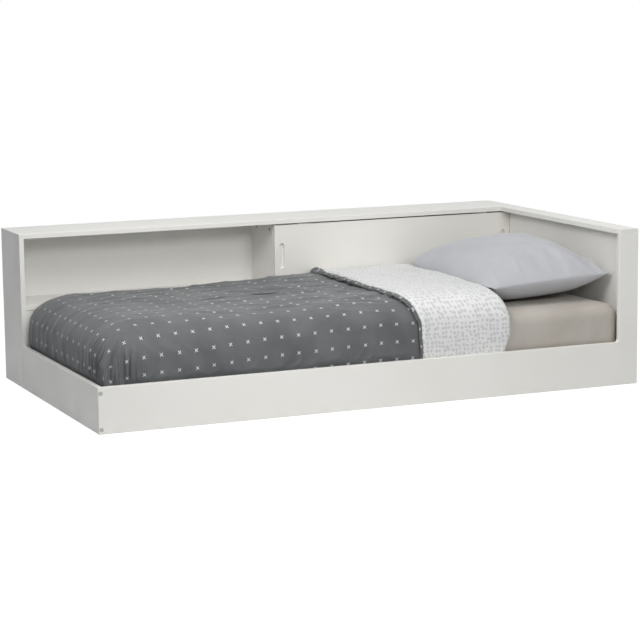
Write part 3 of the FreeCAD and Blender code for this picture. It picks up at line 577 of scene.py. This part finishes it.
DUVET_FRONT, DUVET_BACK = -0.5785, 0.334
DUVET_FOOT, DUVET_END = -1.0345, 0.474
DUVET_TUCK = 0.1405
DUVET_CREST, DUVET_CORNER = 0.36, 0.018
CLEAR_OF_SHEET = 0.0045
CHARCOAL, CHARCOAL_SHADE = (0.132, 0.139, 0.146, 1.0), (0.102, 0.106, 0.111, 1.0)
CROSS_WHITE = (0.72, 0.72, 0.70, 1.0)
CROSS_PITCH, CROSS_REACH, CROSS_ARM = 0.0634, 0.0055, 0.0013
FIRST_CROSS = (-0.943, -0.5785, 0.182)
FOLD_AT = 0.126
PRESSED = 0.007
TUCK_BEND, FOLD_DEPTH, FOLD_PROUD = 0.007, 0.0085, 0.007
# Over the first level folds may be as deep as they come, and at the second they have died out.
# From the third level up they may stand out over the board.
DEEP_FOLDS, STILL_CLOTH, OVER_BOARD = 0.29, 0.155, 0.170


def falling(depth, width, power):
    """A round shoulder from 0 at the edge to 1 at its width: a superellipse's quarter."""
    short = np.clip(1 - depth / width, 0, 1)
    return (1 - short**power) ** (1 / power)


def duvet_height(x, y):
    """The height of the duvet's main layer over the floor, at any place in plan.

    The front, foot and back edges each have a round shoulder, and their shares are multiplied.
    The crown climbs a little towards the head end, and the shoulder is fuller there.
    """
    along = rising(x + 0.70, 0.72)
    start = 0.198 + 0.040 * along
    crown = 0.354 + 0.006 * along + 0.004 * np.cos((y + 0.1) * 3.2)
    front = falling(y - DUVET_FRONT, 0.17 - 0.02 * along, 2.35 + 0.6 * along)
    foot = falling(x - DUVET_FOOT, 0.19, 2.6)
    back = 0.86 + 0.14 * falling(DUVET_BACK - y, 0.11, 2.2)
    share = (np.maximum(front, 0) * np.maximum(foot, 0)) ** 0.8 * back
    return start + (crown - start) * share


def pressed_in(x):
    """How far the main layer is pressed in at the front, where the turned-down end hangs over it."""
    return PRESSED * rising(x - FOLD_AT - 0.03, 0.03)


def duvet_wrinkles(x, y, drop):
    """How far wrinkles lift the main layer along its normal, at a place in plan.

    Long shallow swells cross the top. Soft slanting creases gather towards the fold. On the drop,
    upright folds stand close at the front left corner and wider along the front.
    """
    front = near_edge(y - DUVET_FRONT, 0.16)
    foot = near_edge(x - DUVET_FOOT, 0.16)
    on_top = (1 - 0.75 * front) * (1 - foot)
    swell = soft_noise(x * 4.3, y * 4.9, 11) * 0.0045 + soft_noise(x * 9, y * 10, 12) * 0.0022
    to_fold = rising(x + 0.65, 0.6)
    creases = ridges(x * 3.1 + y * 2.0, y * 13 - x * 3.2, 13, 4.0) * 0.0105
    creases += ridges(x * 6 - y * 3, y * 21 + x * 5, 14, 4.0) * 0.0050
    creases += ridges(x * 12 + y * 5, y * 34 + x * 7, 20, 4.0) * 0.0020
    hang = ridges(x * 9 + 0.5 * np.sin(drop * 22), drop * 2.2, 15, 2.2) * 0.0080
    hang += ridges(x * 22 + np.sin(drop * 31), drop * 4, 16, 3.0) * 0.0046
    side_hang = ridges(y * 11 + 0.5 * np.sin(drop * 26), drop * 2.4, 17, 2.2) * 0.0085
    side_hang += ridges(y * 27, drop * 5, 18, 2.6) * 0.0046
    corner = front * foot
    around = np.arctan2(y - DUVET_FRONT - 0.10, x - DUVET_FOOT - 0.10)
    gathers = (0.5 + 0.5 * np.cos(around * 21 + 4.2 * soft_noise(around * 4, drop * 6, 19))) ** 3.5
    gathers += 0.6 * ridges(around * 9, drop * 3, 22, 5.0)
    lower = rising(drop - 0.03, 0.16)
    return (
        swell * (0.25 + 0.75 * on_top)
        + creases * on_top * (0.35 + 0.65 * to_fold)
        + (hang * (0.20 + 0.80 * lower) * 1.35 - 0.0045) * front * (1 - foot)
        + (side_hang * (0.12 + 0.88 * lower) * 1.2 - 0.0045) * foot * (1 - front)
        + (0.007 - gathers * 0.024) * np.clip(corner * 1.7, 0, 1) * (0.05 + 0.95 * lower)
    )


def outward(rows, closed_round=True):
    """The unit normals of a grid of points, from its two directions."""
    if closed_round:
        along = np.roll(rows, -1, axis=1) - np.roll(rows, 1, axis=1)
    else:
        along = np.gradient(rows, axis=1)
    normal = np.cross(along, np.gradient(rows, axis=0))
    size = np.linalg.norm(normal, axis=-1, keepdims=True)
    return normal / np.maximum(size, 1e-9)


DUVET_LOW, DUVET_HIGH = (DUVET_FOOT, DUVET_FRONT), (DUVET_END, DUVET_BACK)
plan, spine = round_plan(DUVET_LOW, DUVET_HIGH, DUVET_CORNER, 1150, gathered=DUVET_LOW)
width, way = inward(plan, spine)
shares = np.concatenate([np.linspace(0, 0.09, 22)[1:], np.linspace(0.09, 1, 86)[1:]])
edge_height = duvet_height(plan[:, 0], plan[:, 1])
over_sheet = sheet_depth(plan[:, 0], plan[:, 1]) > 0
tuck = np.where(over_sheet, sheet_height(plan[:, 0], plan[:, 1]) + 0.003, DUVET_TUCK)
drop_rows = [
    np.column_stack([plan, tuck + (edge_height - tuck) * share]) for share in np.linspace(0, 1, 22)
]
top_rows = []
for share in shares:
    spot = plan + way * width * share
    top_rows.append(np.column_stack([spot, duvet_height(spot[:, 0], spot[:, 1])]))
outer = np.array([*drop_rows, *top_rows])
x, y, z = outer[..., 0], outer[..., 1], outer[..., 2]
smooth_form = outer.copy()
lift = duvet_wrinkles(x, y, DUVET_CREST - z)
lift = np.where(z < DEEP_FOLDS, np.maximum(lift, -FOLD_DEPTH), lift)
free = rising(z - STILL_CLOTH, 0.03) * rising(DUVET_END - x, 0.03)
outer += outward(outer) * (lift * free)[..., None]
x, y, z = outer[..., 0], outer[..., 1], outer[..., 2]
over = np.maximum(z, sheet_height(x, y) + CLEAR_OF_SHEET)
outer[..., 2] = np.where(sheet_depth(x, y) > 0, over, z)
proud = FOLD_PROUD * rising(z - OVER_BOARD, 0.014) * rising(FOLD_AT - 0.015 - x, 0.05)
outer[..., 0] = np.maximum(outer[..., 0], DUVET_FOOT - proud)
outer[..., 1] = np.maximum(outer[..., 1], DUVET_FRONT - proud)
outer[..., 1] = np.minimum(outer[..., 1], DUVET_BACK)
outer[..., 1] += pressed_in(x) * near_edge(y - DUVET_FRONT, 0.12)
bent = TUCK_BEND * rising(0.25 - z, 0.085) ** 1.7
outer[..., 1] += bent * (1 - pressed_in(x) / PRESSED) * near_edge(y - DUVET_FRONT, 0.02)
outer[..., 0] += bent * near_edge(x - DUVET_FOOT, 0.02)

# The underside follows the sheet's top and sides, with a row for every third one of the outer face.
inner_low = sheet_low[:2] - 0.0012
inner_high = np.array([DUVET_END - 0.006, min(sheet_high[1] + 0.0012, DUVET_BACK - 0.002)])
scale = (inner_high - inner_low) / (np.array(DUVET_HIGH) - DUVET_LOW)
under_plan = inner_low + (outer[..., :2] - DUVET_LOW) * scale
under_level = sheet_height(under_plan[..., 0], under_plan[..., 1]) + 0.0015
beside = sheet_depth(under_plan[..., 0], under_plan[..., 1]) < 0.0015
ceiling = np.where(beside, outer[..., 2], outer[..., 2] - 0.002)
under = np.concatenate([under_plan, np.minimum(ceiling, under_level)[..., None]], axis=-1)
under_rows = np.arange(len(outer) - 1, -1, -3)
duvet = skin("duvet_charcoal", np.concatenate([under[under_rows], outer]))


def run_length(places, heights):
    """The length along a line of cloth, from its places and its heights."""
    return np.concatenate([[0], np.cumsum(np.hypot(np.diff(places), np.diff(heights)))])


run_x = np.linspace(DUVET_FOOT, 0.60, 800)
cloth_run_x = run_length(run_x, duvet_height(run_x, -0.1))
run_y = np.linspace(DUVET_FRONT, DUVET_BACK, 600)
cloth_run_y = run_length(run_y, duvet_height(-0.3, run_y))


def cloth_lengths(x, y, z):
    """Lengths along the cover's cloth, in X and in Y, over the shoulders and down the drop.

    The cover is pulled a little aslant towards its foot and head ends.
    """
    edge = duvet_height(np.clip(x, DUVET_FOOT, 1), np.clip(y, DUVET_FRONT, DUVET_BACK))
    down = np.clip(edge - z, 0, None)
    at_foot = near_edge(x - DUVET_FOOT, 0.02)
    at_front = near_edge(y - DUVET_FRONT, 0.02)
    u = np.interp(x, run_x, cloth_run_x) - down * at_foot * (1 - at_front * 0.5)
    v = np.interp(y, run_y, cloth_run_y) - down * at_front * (1 - at_foot * 0.5)
    pulled = 0.019 * np.exp(-(x + 0.943) / 0.15) + 0.022 * np.clip(x + 0.43, 0, 1)
    return u, v + pulled * np.exp(-np.clip(y - DUVET_FRONT, 0, None) / 0.35)


u, v = cloth_lengths(smooth_form[..., 0], smooth_form[..., 1], smooth_form[..., 2])
lay_flat_pattern(duvet, np.concatenate([u[under_rows], u]), np.concatenate([v[under_rows], v]))
close_up(duvet)


def add_crosses(tree, cloth, tone):
    """Small printed crosses: two slanting arms in the middle of each square of the cloth."""
    phase = tuple(CROSS_PITCH / 2 - float(length) for length in cloth_lengths(*FIRST_CROSS)) + (0,)
    centred = shade(tree, "Mapping", {"Vector": cloth, "Location": phase}).outputs[0]
    parts = shade(tree, "SeparateXYZ", {0: centred}).outputs
    near = []
    for axis in (0, 1):
        cell = work_out(tree, "WRAP", parts[axis], CROSS_PITCH, 0.0)
        near.append(work_out(tree, "ABSOLUTE", work_out(tree, "SUBTRACT", cell, CROSS_PITCH / 2)))
    gap = work_out(tree, "ABSOLUTE", work_out(tree, "SUBTRACT", *near))
    reach = work_out(tree, "MAXIMUM", *near)
    arm = spread(tree, gap, CROSS_ARM, CROSS_ARM * 1.5, 1.0, 0.0)
    end = spread(tree, reach, CROSS_REACH, CROSS_REACH * 1.1, 1.0, 0.0)
    return blend(tree, work_out(tree, "MULTIPLY", arm, end), tone, CROSS_WHITE)


charcoal, tree, surface, cloth, tone = woven(
    "charcoal_cotton", CHARCOAL, CHARCOAL_SHADE, 0.0006, 0.72, 0.22
)
plug(tree, surface, {"Base Color": add_crosses(tree, cloth, tone)})
duvet.data.materials.append(charcoal)
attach(duvet, "frame")
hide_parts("duvet")

# ---------------------------------------------------------------- duvet's turned-down end

# The duvet's top end is folded back over itself, so its white reverse shows, printed with small
# pale grey spots. It rolls round at the head end and hangs down behind the front board.

TURNED_THICK, TURNED_THIN = 0.024, 0.0075
NOSE_ROUND, NOSE_FLATTER = 0.030, 0.019
TURNED_ROOM = 0.14
BEHIND_BOARD = 0.166
# Each pair is a length up the cloth from its tucked-in edge, and where the end lies there in X:
# first its edge, then its nose at the head end.
TURNED_EDGE = (
    (0.02, 0.169), (0.09, 0.167), (0.135, 0.161), (0.19, 0.145),
    (0.26, 0.134), (0.6, 0.129), (0.9, 0.141), (1.1, 0.148),
)
TURNED_NOSE = (
    (0.03, 0.506), (0.09, 0.527), (0.135, 0.523), (0.20, 0.512),
    (0.27, 0.502), (0.40, 0.518), (0.6, 0.532),
)
REVERSE_WHITE, REVERSE_SHADE = (0.785, 0.79, 0.79, 1.0), (0.735, 0.74, 0.74, 1.0)
SPOT_GREY = (0.56, 0.56, 0.565, 1.0)
SPOT_SPACING, SPOT_SIZE = 0.0162, 0.0055

# The path goes from the back edge over the top and the shoulder, and down the drop.
back_part = np.linspace(DUVET_BACK - 0.004, DUVET_FRONT + TURNED_ROOM, 100)
turn = np.linspace(0, 1, 52)[1:]
front_part = DUVET_FRONT + TURNED_ROOM * (1 - turn) ** 1.9
path_y = np.concatenate([back_part, front_part])
drop_count = 34
drop_share = np.linspace(0, 1, drop_count + 1)[1:]


def laid_path(x):
    """The main layer's outer face along the path, for a grid of x. The shape is (path, x, 3)."""
    top_x, top_y = x[: len(path_y)], path_y[:, None]
    y = top_y + pressed_in(top_x) * near_edge(top_y - DUVET_FRONT, 0.12)
    top = np.stack([top_x, y, duvet_height(top_x, top_y)], axis=-1)
    drop = np.repeat(top[-1:], drop_count, axis=0)
    drop[..., 0] = x[len(path_y):]
    drop[..., 1] = DUVET_FRONT + pressed_in(drop[..., 0])
    drop[..., 2] += (DUVET_TUCK - drop[..., 2]) * drop_share[:, None]
    return np.concatenate([top, drop])


path_count = len(path_y) + drop_count
on_drop = np.clip((np.arange(path_count) - len(path_y) + 26) / 48, 0, 1)[:, None]
middle_line = laid_path(np.full((path_count, 1), 0.3))[:, 0]
path_step = np.linalg.norm(np.diff(middle_line, axis=0), axis=1)
path_length = np.concatenate([[0], np.cumsum(path_step)])
up_from_tuck = path_length[-1] - path_length
edge_x = np.interp(up_from_tuck, *np.transpose(TURNED_EDGE))
head_x = np.interp(up_from_tuck, *np.transpose(TURNED_NOSE))
even = np.ones(13) / 13
edge_x, head_x = (
    np.convolve(np.pad(line, 6, "edge"), even, "valid")[:, None] for line in (edge_x, head_x)
)
edge_x = edge_x + 0.002 * np.sin(path_length * 43)[:, None]
thick = TURNED_THICK + (TURNED_THIN - TURNED_THICK) * on_drop**1.5
nose = NOSE_ROUND - NOSE_FLATTER * on_drop

# The loop round the layer goes over its top, round the nose, up the main layer's end and back.
over = np.linspace(0, 1, 130)[None] ** 1.5
round_nose = np.linspace(0, np.pi, 24)[None, 1:]
back_under = np.linspace(1, 0, 34)[None]
flat_x = edge_x + (head_x - nose - edge_x) * over
nose_x = (head_x - nose) + nose * np.sin(round_nose)
under_x = edge_x + (DUVET_END + 0.002 - edge_x) * back_under
loop_x = np.concatenate([flat_x, nose_x, under_x], axis=1)
base = laid_path(loop_x)
normal = outward(base, closed_round=False)
normal *= np.sign(normal[:1, :1, 2:3])
bed_gap = (base[..., 2] - sheet_height(base[..., 0], base[..., 1])) * normal[..., 2] - 0.003
depth = np.clip(bed_gap, 0.003, 0.06)
rim_share = np.sqrt(1 - (1 - rising(flat_x - edge_x, 0.014)) ** 2)
flat_lift = thick * (0.45 + 0.55 * rim_share)
nose_depth = depth[:, over.shape[1]:over.shape[1] + round_nose.shape[1]]
nose_lift = (thick - nose_depth) / 2 + (thick + nose_depth) / 2 * np.cos(round_nose)
lift = np.concatenate([flat_lift, nose_lift, np.full(under_x.shape, 0.0008)], axis=1)
px, py, pz = base[..., 0], base[..., 1], base[..., 2]
ruffle = soft_noise(px * 9, py * 8 + pz * 6, 31) * 0.0022
ruffle += ridges(px * 6 + py * 3, py * 9 + pz * 9, 32, 2.6) * 0.0034
ruffle += ridges(px * 22, (py - pz) * 5, 33, 2.0) * 0.0020 * on_drop
turning = np.cos(round_nose / 2) + 0 * nose_lift
shown = np.concatenate([np.ones(flat_lift.shape), turning, np.zeros(under_x.shape)], axis=1)
lift = lift + ruffle * shown * (1 - 0.7 * on_drop**2)
turned = base + normal * lift[..., None]
front_limit = np.where(turned[..., 2] < BEHIND_BOARD, DUVET_FRONT - 0.0005, -np.inf)
turned[..., 1] = np.maximum(turned[..., 1], front_limit)
turned[..., 1] = np.minimum(turned[..., 1], DUVET_BACK + 0.007)
turned_end = skin("duvet_turned_down", turned)
loop_step = np.linalg.norm(np.diff(turned, axis=1), axis=2)
loop_length = np.concatenate([np.zeros((path_count, 1)), np.cumsum(loop_step, axis=1)], axis=1)
lay_flat_pattern(turned_end, loop_length, path_length[:, None] + 0 * loop_length)
close_up(turned_end)

reverse, tree, surface, cloth, tone = woven(
    "spotted_reverse", REVERSE_WHITE, REVERSE_SHADE, 0.0006, 0.75, 0.2
)
scattered = {"Vector": cloth, "Scale": 1 / SPOT_SPACING, "Randomness": 0.5}
cells = shade(tree, "TexVoronoi", scattered, voronoi_dimensions="2D").outputs["Distance"]
small, large = SPOT_SIZE * 0.75 / SPOT_SPACING, SPOT_SIZE * 1.25 / SPOT_SPACING
spot_edge = spread(tree, noise(tree, cloth, 40.0, 1.0), 0.3, 0.7, small, large)
spot = spread(tree, work_out(tree, "SUBTRACT", spot_edge, cells), 0.0, 0.05, 0.0, 0.8)
plug(tree, surface, {"Base Color": blend(tree, spot, tone, SPOT_GREY)})
turned_end.data.materials.append(reverse)
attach(turned_end, "frame")
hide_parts("duvet")

# The cover's charcoal hem rolls up along the turned-down edge, and bunches at its back end. It is
# a soft tube, sewn to the edge, squeezed and twisted along its way.

HEM_ROUND, HEM_GIRTH = 0.0098, 0.055


def hem_roll(path, along):
    """A tube along a path: each ring is an ellipse that a noise swells, squeezes and twists."""
    heading = np.gradient(path, axis=0)
    heading /= np.linalg.norm(heading, axis=1, keepdims=True)
    first = np.cross(heading, (1.0, 0.0, 0.0))
    first /= np.linalg.norm(first, axis=1, keepdims=True)
    second = np.cross(heading, first)
    angle = np.linspace(0, 2 * np.pi, 28, endpoint=False)[None]
    twist = along[:, None] * 30
    swell = 1 + 0.30 * soft_noise(along[:, None] * 26, angle * 1.3 + 4, 41)
    swell = swell + 0.34 * (ridges(angle * 1.6 + twist, along[:, None] * 34, 42, 2.0) - 0.5)
    bunch = 1 + 0.95 * np.exp(-((along[:, None] - 0.040) / 0.045) ** 2)
    tip = np.sqrt(np.clip(np.minimum(along, along[-1] - along)[:, None] / 0.012, 0.02, 1))
    thinner = 1 - 0.50 * rising(along[:, None] - along[-1] + 0.28, 0.16)
    reach = HEM_ROUND * swell * bunch * tip * thinner
    sides = first[:, None] * np.cos(angle)[..., None] * 0.85 + second[:, None] * np.sin(angle)[..., None]
    return path[:, None] + sides * reach[..., None]


rim = base[:, 0] + normal[:, 0] * (thick * 0.36 + 0.004)
rim[:, 0] -= 0.006
steps = np.linspace(0, path_length[-1] - 0.004, 460)
rim = np.stack([np.interp(steps, path_length, rim[:, axis]) for axis in range(3)], axis=1)
fade = np.exp(-((steps - 0.03) / 0.035) ** 2)
rim[:, 2] += 0.006 * fade
rim[:, 0] += -0.012 * fade + 0.0025 * np.sin(steps * 61) * np.exp(-steps * 2)
rim[:, 1] += np.where(rim[:, 2] < 0.18, 0.004, 0.0)
hem_rows = hem_roll(rim, steps)
hem_front = DUVET_FRONT - 0.0005 - 0.01 * (hem_rows[..., 2] > OVER_BOARD)
hem_rows[..., 1] = np.clip(hem_rows[..., 1], hem_front, DUVET_BACK + 0.008)
hem = skin("duvet_hem_roll", hem_rows)
hem_round = np.linspace(0, HEM_GIRTH, 28)[None] + 0 * steps[:, None]
lay_flat_pattern(hem, hem_round, steps[:, None] + 0 * hem_round)
close_up(hem)
hem.data.materials.append(charcoal)
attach(hem, "frame")
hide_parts("duvet")

# ---------------------------------------------------------------- pillow

# A 60 by 70 cm pillow in a pale lavender-grey cotton case, sewn round its edge. It starts plump,
# its cloth is blown up a little with cloth to spare, and creases and puckers are drawn in. It
# leans on the duvet's turned-down end and lies on the sheet.

PILLOW_FLAT = (0.60, 0.70)
PILLOW_SPAN = (0.258, 0.330)
PILLOW_CROWN, PILLOW_BELLY = 0.128, 0.102
PILLOW_PLACE = (0.750, -0.148, 0.404)
PILLOW_TILT = (0.058, 0.036)
PILLOW_SUPPORT, PILLOW_LIES = 0.385, 0.295
PILLOW_SPARE, PILLOW_CAP = 0.07, 0.010
PILLOW_POINTED, PILLOW_DRAWN = 3.5, 0.05
TURNED_HEAD = 0.536
LAVENDER, LAVENDER_SHADE = (0.515, 0.52, 0.555, 1.0), (0.48, 0.485, 0.51, 1.0)


def crowded(count):
    """Steps from -1 to 1 that crowd at both ends: a sine's middle run, stretched to 1."""
    return np.sin(np.linspace(-1.4, 1.4, count)) / np.sin(1.4)


a = crowded(61)[:, None]
b_over = crowded(71)
b = np.concatenate([b_over, b_over[-2:0:-1]])[None]
side = np.concatenate([np.ones(71), -np.ones(69)])[None]


def plump(a, b, side):
    """The pillow's form from its seam's middle: two shares of a superellipse, multiplied.

    Its sides draw in between the corners, and the corners stay flat and pointed.
    """
    fuller = np.where(side > 0, 0.72 + 0.14 * a - 0.16 * b, 0.61)
    puff = ((1 - np.abs(a) ** PILLOW_POINTED) * (1 - np.abs(b) ** PILLOW_POINTED)) ** fuller
    along = a * PILLOW_SPAN[0] * (1 - PILLOW_DRAWN * (1 - b**2) * np.abs(a))
    back = b * PILLOW_SPAN[1] * (1 - PILLOW_DRAWN * (1 - a**2) * np.abs(b))
    height = np.where(side > 0, PILLOW_CROWN, -PILLOW_BELLY) * puff
    return np.stack([along, back, height], axis=-1)


form = plump(a, b, side)
pillow = skin("pillow_in_case", form)
flat_a, flat_b = a * PILLOW_FLAT[0] / 2 + 0 * b, b * PILLOW_FLAT[1] / 2 + side * 0.8 + 0 * a
lay_flat_pattern(pillow, flat_a, flat_b)
close_up(pillow)


def places(mesh):
    """A mesh's vertices as an array."""
    spots = np.zeros(len(mesh.vertices) * 3, dtype=np.float32)
    mesh.vertices.foreach_get("co", spots)
    return spots.reshape(-1, 3).astype(float)


start = places(pillow.data)
spots = start.copy()
swelling = pillow.modifiers.new("Swelling", "CLOTH")
for word, value in {
    "quality": 7, "mass": 0.25, "tension_stiffness": 18, "compression_stiffness": 18,
    "shear_stiffness": 4, "bending_stiffness": 0.03, "shrink_min": -PILLOW_SPARE,
    "use_pressure": True, "uniform_pressure_force": 3.0,
}.items():
    setattr(swelling.settings, word, value)
swelling.settings.effector_weights.gravity = 0
for step in range(1, 21):
    bpy.context.scene.frame_set(step)
blown = pillow.evaluated_get(bpy.context.evaluated_depsgraph_get())
spots = places(blown.data)
pillow.modifiers.remove(swelling)
bpy.context.scene.frame_set(1)
moved = spots - start
distance = np.linalg.norm(moved, axis=1, keepdims=True)
from_seam = 1 - np.max(np.abs(start[:, :2]) / PILLOW_SPAN, axis=1, keepdims=True)
cap = PILLOW_CAP * (0.12 + 0.88 * rising(from_seam, 0.35))
spots = start + moved * np.minimum(1, cap / np.maximum(distance, 1e-9))
spots[:, :2] *= PILLOW_SPAN / np.abs(spots[:, :2]).max(0)

# Soft creases fan out from the right front corner, and short ones stand along the front seam.
on_a, on_b = start[:, 0] / PILLOW_SPAN[0], start[:, 1] / PILLOW_SPAN[1]
from_corner = np.hypot(1.15 - on_a, on_b + 1.15)
fan = np.arctan2(on_b + 1.15, 1.15 - on_a)
corner_share = np.exp(-(((from_corner - 0.8) / 0.6) ** 2))
creased = ridges(fan * 4.6 + 0.3 * from_corner, from_corner * 1.1, 52, 2.6) * 0.022 * corner_share
seam_share = np.exp(-(((on_b + 0.74) / 0.25) ** 2))
creased += ridges(on_a * 7 + on_b * 2, on_b * 2.2, 53, 2.6) * 0.011 * seam_share
inside_seam = rising(1 - np.maximum(np.abs(on_a), np.abs(on_b)), 0.08)
spots[:, 2] += (creased - 0.005) * inside_seam * (start[:, 2] > 0)
spots[:, 2] += spots[:, :2] @ PILLOW_TILT
spots += PILLOW_PLACE
on_sheet = sheet_height(spots[:, 0], spots[:, 1]) + 0.001
past_nose = rising(spots[:, 0] - TURNED_HEAD + 0.040, 0.046)
on_duvet = PILLOW_LIES + (PILLOW_SUPPORT - PILLOW_LIES) * np.sqrt(1 - past_nose**2)
spots[:, 2] = np.maximum(spots[:, 2], np.maximum(on_sheet, on_duvet))
pillow.data.vertices.foreach_set("co", spots.astype(np.float32).reshape(-1))
pillow.data.update()
smooth = pillow.modifiers.new("Smooth cloth", "SUBSURF")
smooth.levels = smooth.render_levels = 1
lavender = woven("lavender_cotton", LAVENDER, LAVENDER_SHADE, 0.0006, 0.75, 0.25)[0]
pillow.data.materials.append(lavender)
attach(pillow, "frame")
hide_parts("pillow")

# ---------------------------------------------------------------- floor, light and camera

# A white studio: a pale floor that goes on to the horizon, four soft lamps over the bed, before
# it and beyond both its ends, and even white light from all round.

LAMP_WHITE = (1.0, 0.99, 0.97)
PAPER_GREY, PAPER_SHADED, PAPER_GLOW = (0.62, 0.62, 0.62, 1), (0.30, 0.30, 0.30, 1), 0.935
ROOM_WHITE, ROOM_LIGHT = (0.92, 0.96, 1.0, 1), 0.26


def seen_directly(tree):
    """1 for the camera's rays and for reflections, 0 for the light that falls on things."""
    rays = tree.nodes.new("ShaderNodeLightPath").outputs
    return work_out(tree, "MAXIMUM", rays["Is Camera Ray"], rays["Is Glossy Ray"])


bpy.ops.mesh.primitive_plane_add(size=60, location=(0, 0, -0.0005))
floor = bpy.context.object
floor.name = "studio_floor"
paper = bpy.data.materials.new("white_paper")
paper.use_nodes = True
tree = paper.node_tree
tree.nodes.clear()
matt = shade(tree, "BsdfDiffuse", {"Color": PAPER_GREY}).outputs[0]
shaded = shade(tree, "BsdfDiffuse", {"Color": PAPER_SHADED}).outputs[0]
glow = shade(tree, "Emission", {"Color": (1, 1, 1, 1), "Strength": PAPER_GLOW}).outputs[0]
lit = shade(tree, "AddShader", {0: shaded, 1: glow}).outputs[0]
mixed = shade(tree, "MixShader", {0: seen_directly(tree), 1: matt, 2: lit})
shade(tree, "OutputMaterial", {"Surface": mixed.outputs[0]})
floor.data.materials.append(paper)

world = bpy.data.worlds.new("white_room")
bpy.context.scene.world = world
world.use_nodes = True
tree = world.node_tree
tree.nodes.clear()
room = shade(tree, "Background", {"Color": ROOM_WHITE, "Strength": ROOM_LIGHT}).outputs[0]
white = shade(tree, "Background", {"Color": (1, 1, 1, 1), "Strength": 1.0}).outputs[0]
mixed = shade(tree, "MixShader", {0: seen_directly(tree), 1: room, 2: white})
shade(tree, "OutputWorld", {"Surface": mixed.outputs[0]})


def stood_at(right, above, facing, spot):
    """The matrix of a lamp or a camera, from its right, its upper side, its view and its place."""
    return Matrix(np.vstack([np.column_stack([right, above, -facing, spot]), (0, 0, 0, 1)]))


def softbox(name, size, spot, aim, watts):
    """A rectangular studio lamp that faces a spot."""
    lamp = bpy.data.lights.new(name, "AREA")
    lamp.shape, lamp.size, lamp.size_y = "RECTANGLE", *size
    lamp.energy, lamp.color = watts, LAMP_WHITE
    holder = bpy.data.objects.new(name, lamp)
    bpy.context.scene.collection.objects.link(holder)
    facing = np.array(aim, float) - spot
    facing /= np.linalg.norm(facing)
    right = np.cross(facing, (0, 0, 1))
    right /= np.linalg.norm(right)
    holder.matrix_world = stood_at(right, np.cross(right, facing), facing, spot)


softbox("top_lamp", (2.2, 1.4), (0.1, -0.5, 3.0), (0.1, 0.0, 0.3), 17)
softbox("front_lamp", (2.0, 0.9), (0.1, -4.7, 2.15), (0.1, 0.0, 0.3), 68)
softbox("foot_lamp", (1.2, 0.9), (-1.0, -1.2, 1.9), (1.0, -0.1, 0.45), 26)
softbox("head_lamp", (1.6, 1.0), (3.4, 1.3, 1.9), (0.2, 0.1, 0.4), 22)

# The camera stands in front of the bed's foot end, a little above it, with a long lens.
FOCAL_PIXELS, PICTURE_PIXELS = 2168.1, 640
CAMERA_YAW, CAMERA_PITCH, CAMERA_ROLL = np.radians([23.12, 8.90, -0.690])
CAMERA_PLACE = (-3.183, -7.497, 1.509)

ahead = np.array([
    np.sin(CAMERA_YAW) * np.cos(CAMERA_PITCH),
    np.cos(CAMERA_YAW) * np.cos(CAMERA_PITCH),
    -np.sin(CAMERA_PITCH),
])
level = np.array([np.cos(CAMERA_YAW), -np.sin(CAMERA_YAW), 0])
above = np.cross(level, ahead)
right = np.cos(CAMERA_ROLL) * level + np.sin(CAMERA_ROLL) * above
above = np.cross(right, ahead)
lens = bpy.data.cameras.new("studio_camera")
lens.sensor_width = 36
lens.lens = FOCAL_PIXELS / PICTURE_PIXELS * lens.sensor_width
lens.clip_end = 200
camera = bpy.data.objects.new("studio_camera", lens)
camera.matrix_world = stood_at(right, above, ahead, CAMERA_PLACE)
bpy.context.scene.collection.objects.link(camera)
bpy.context.scene.camera = camera
bpy.context.scene.view_settings.view_transform = "Standard"
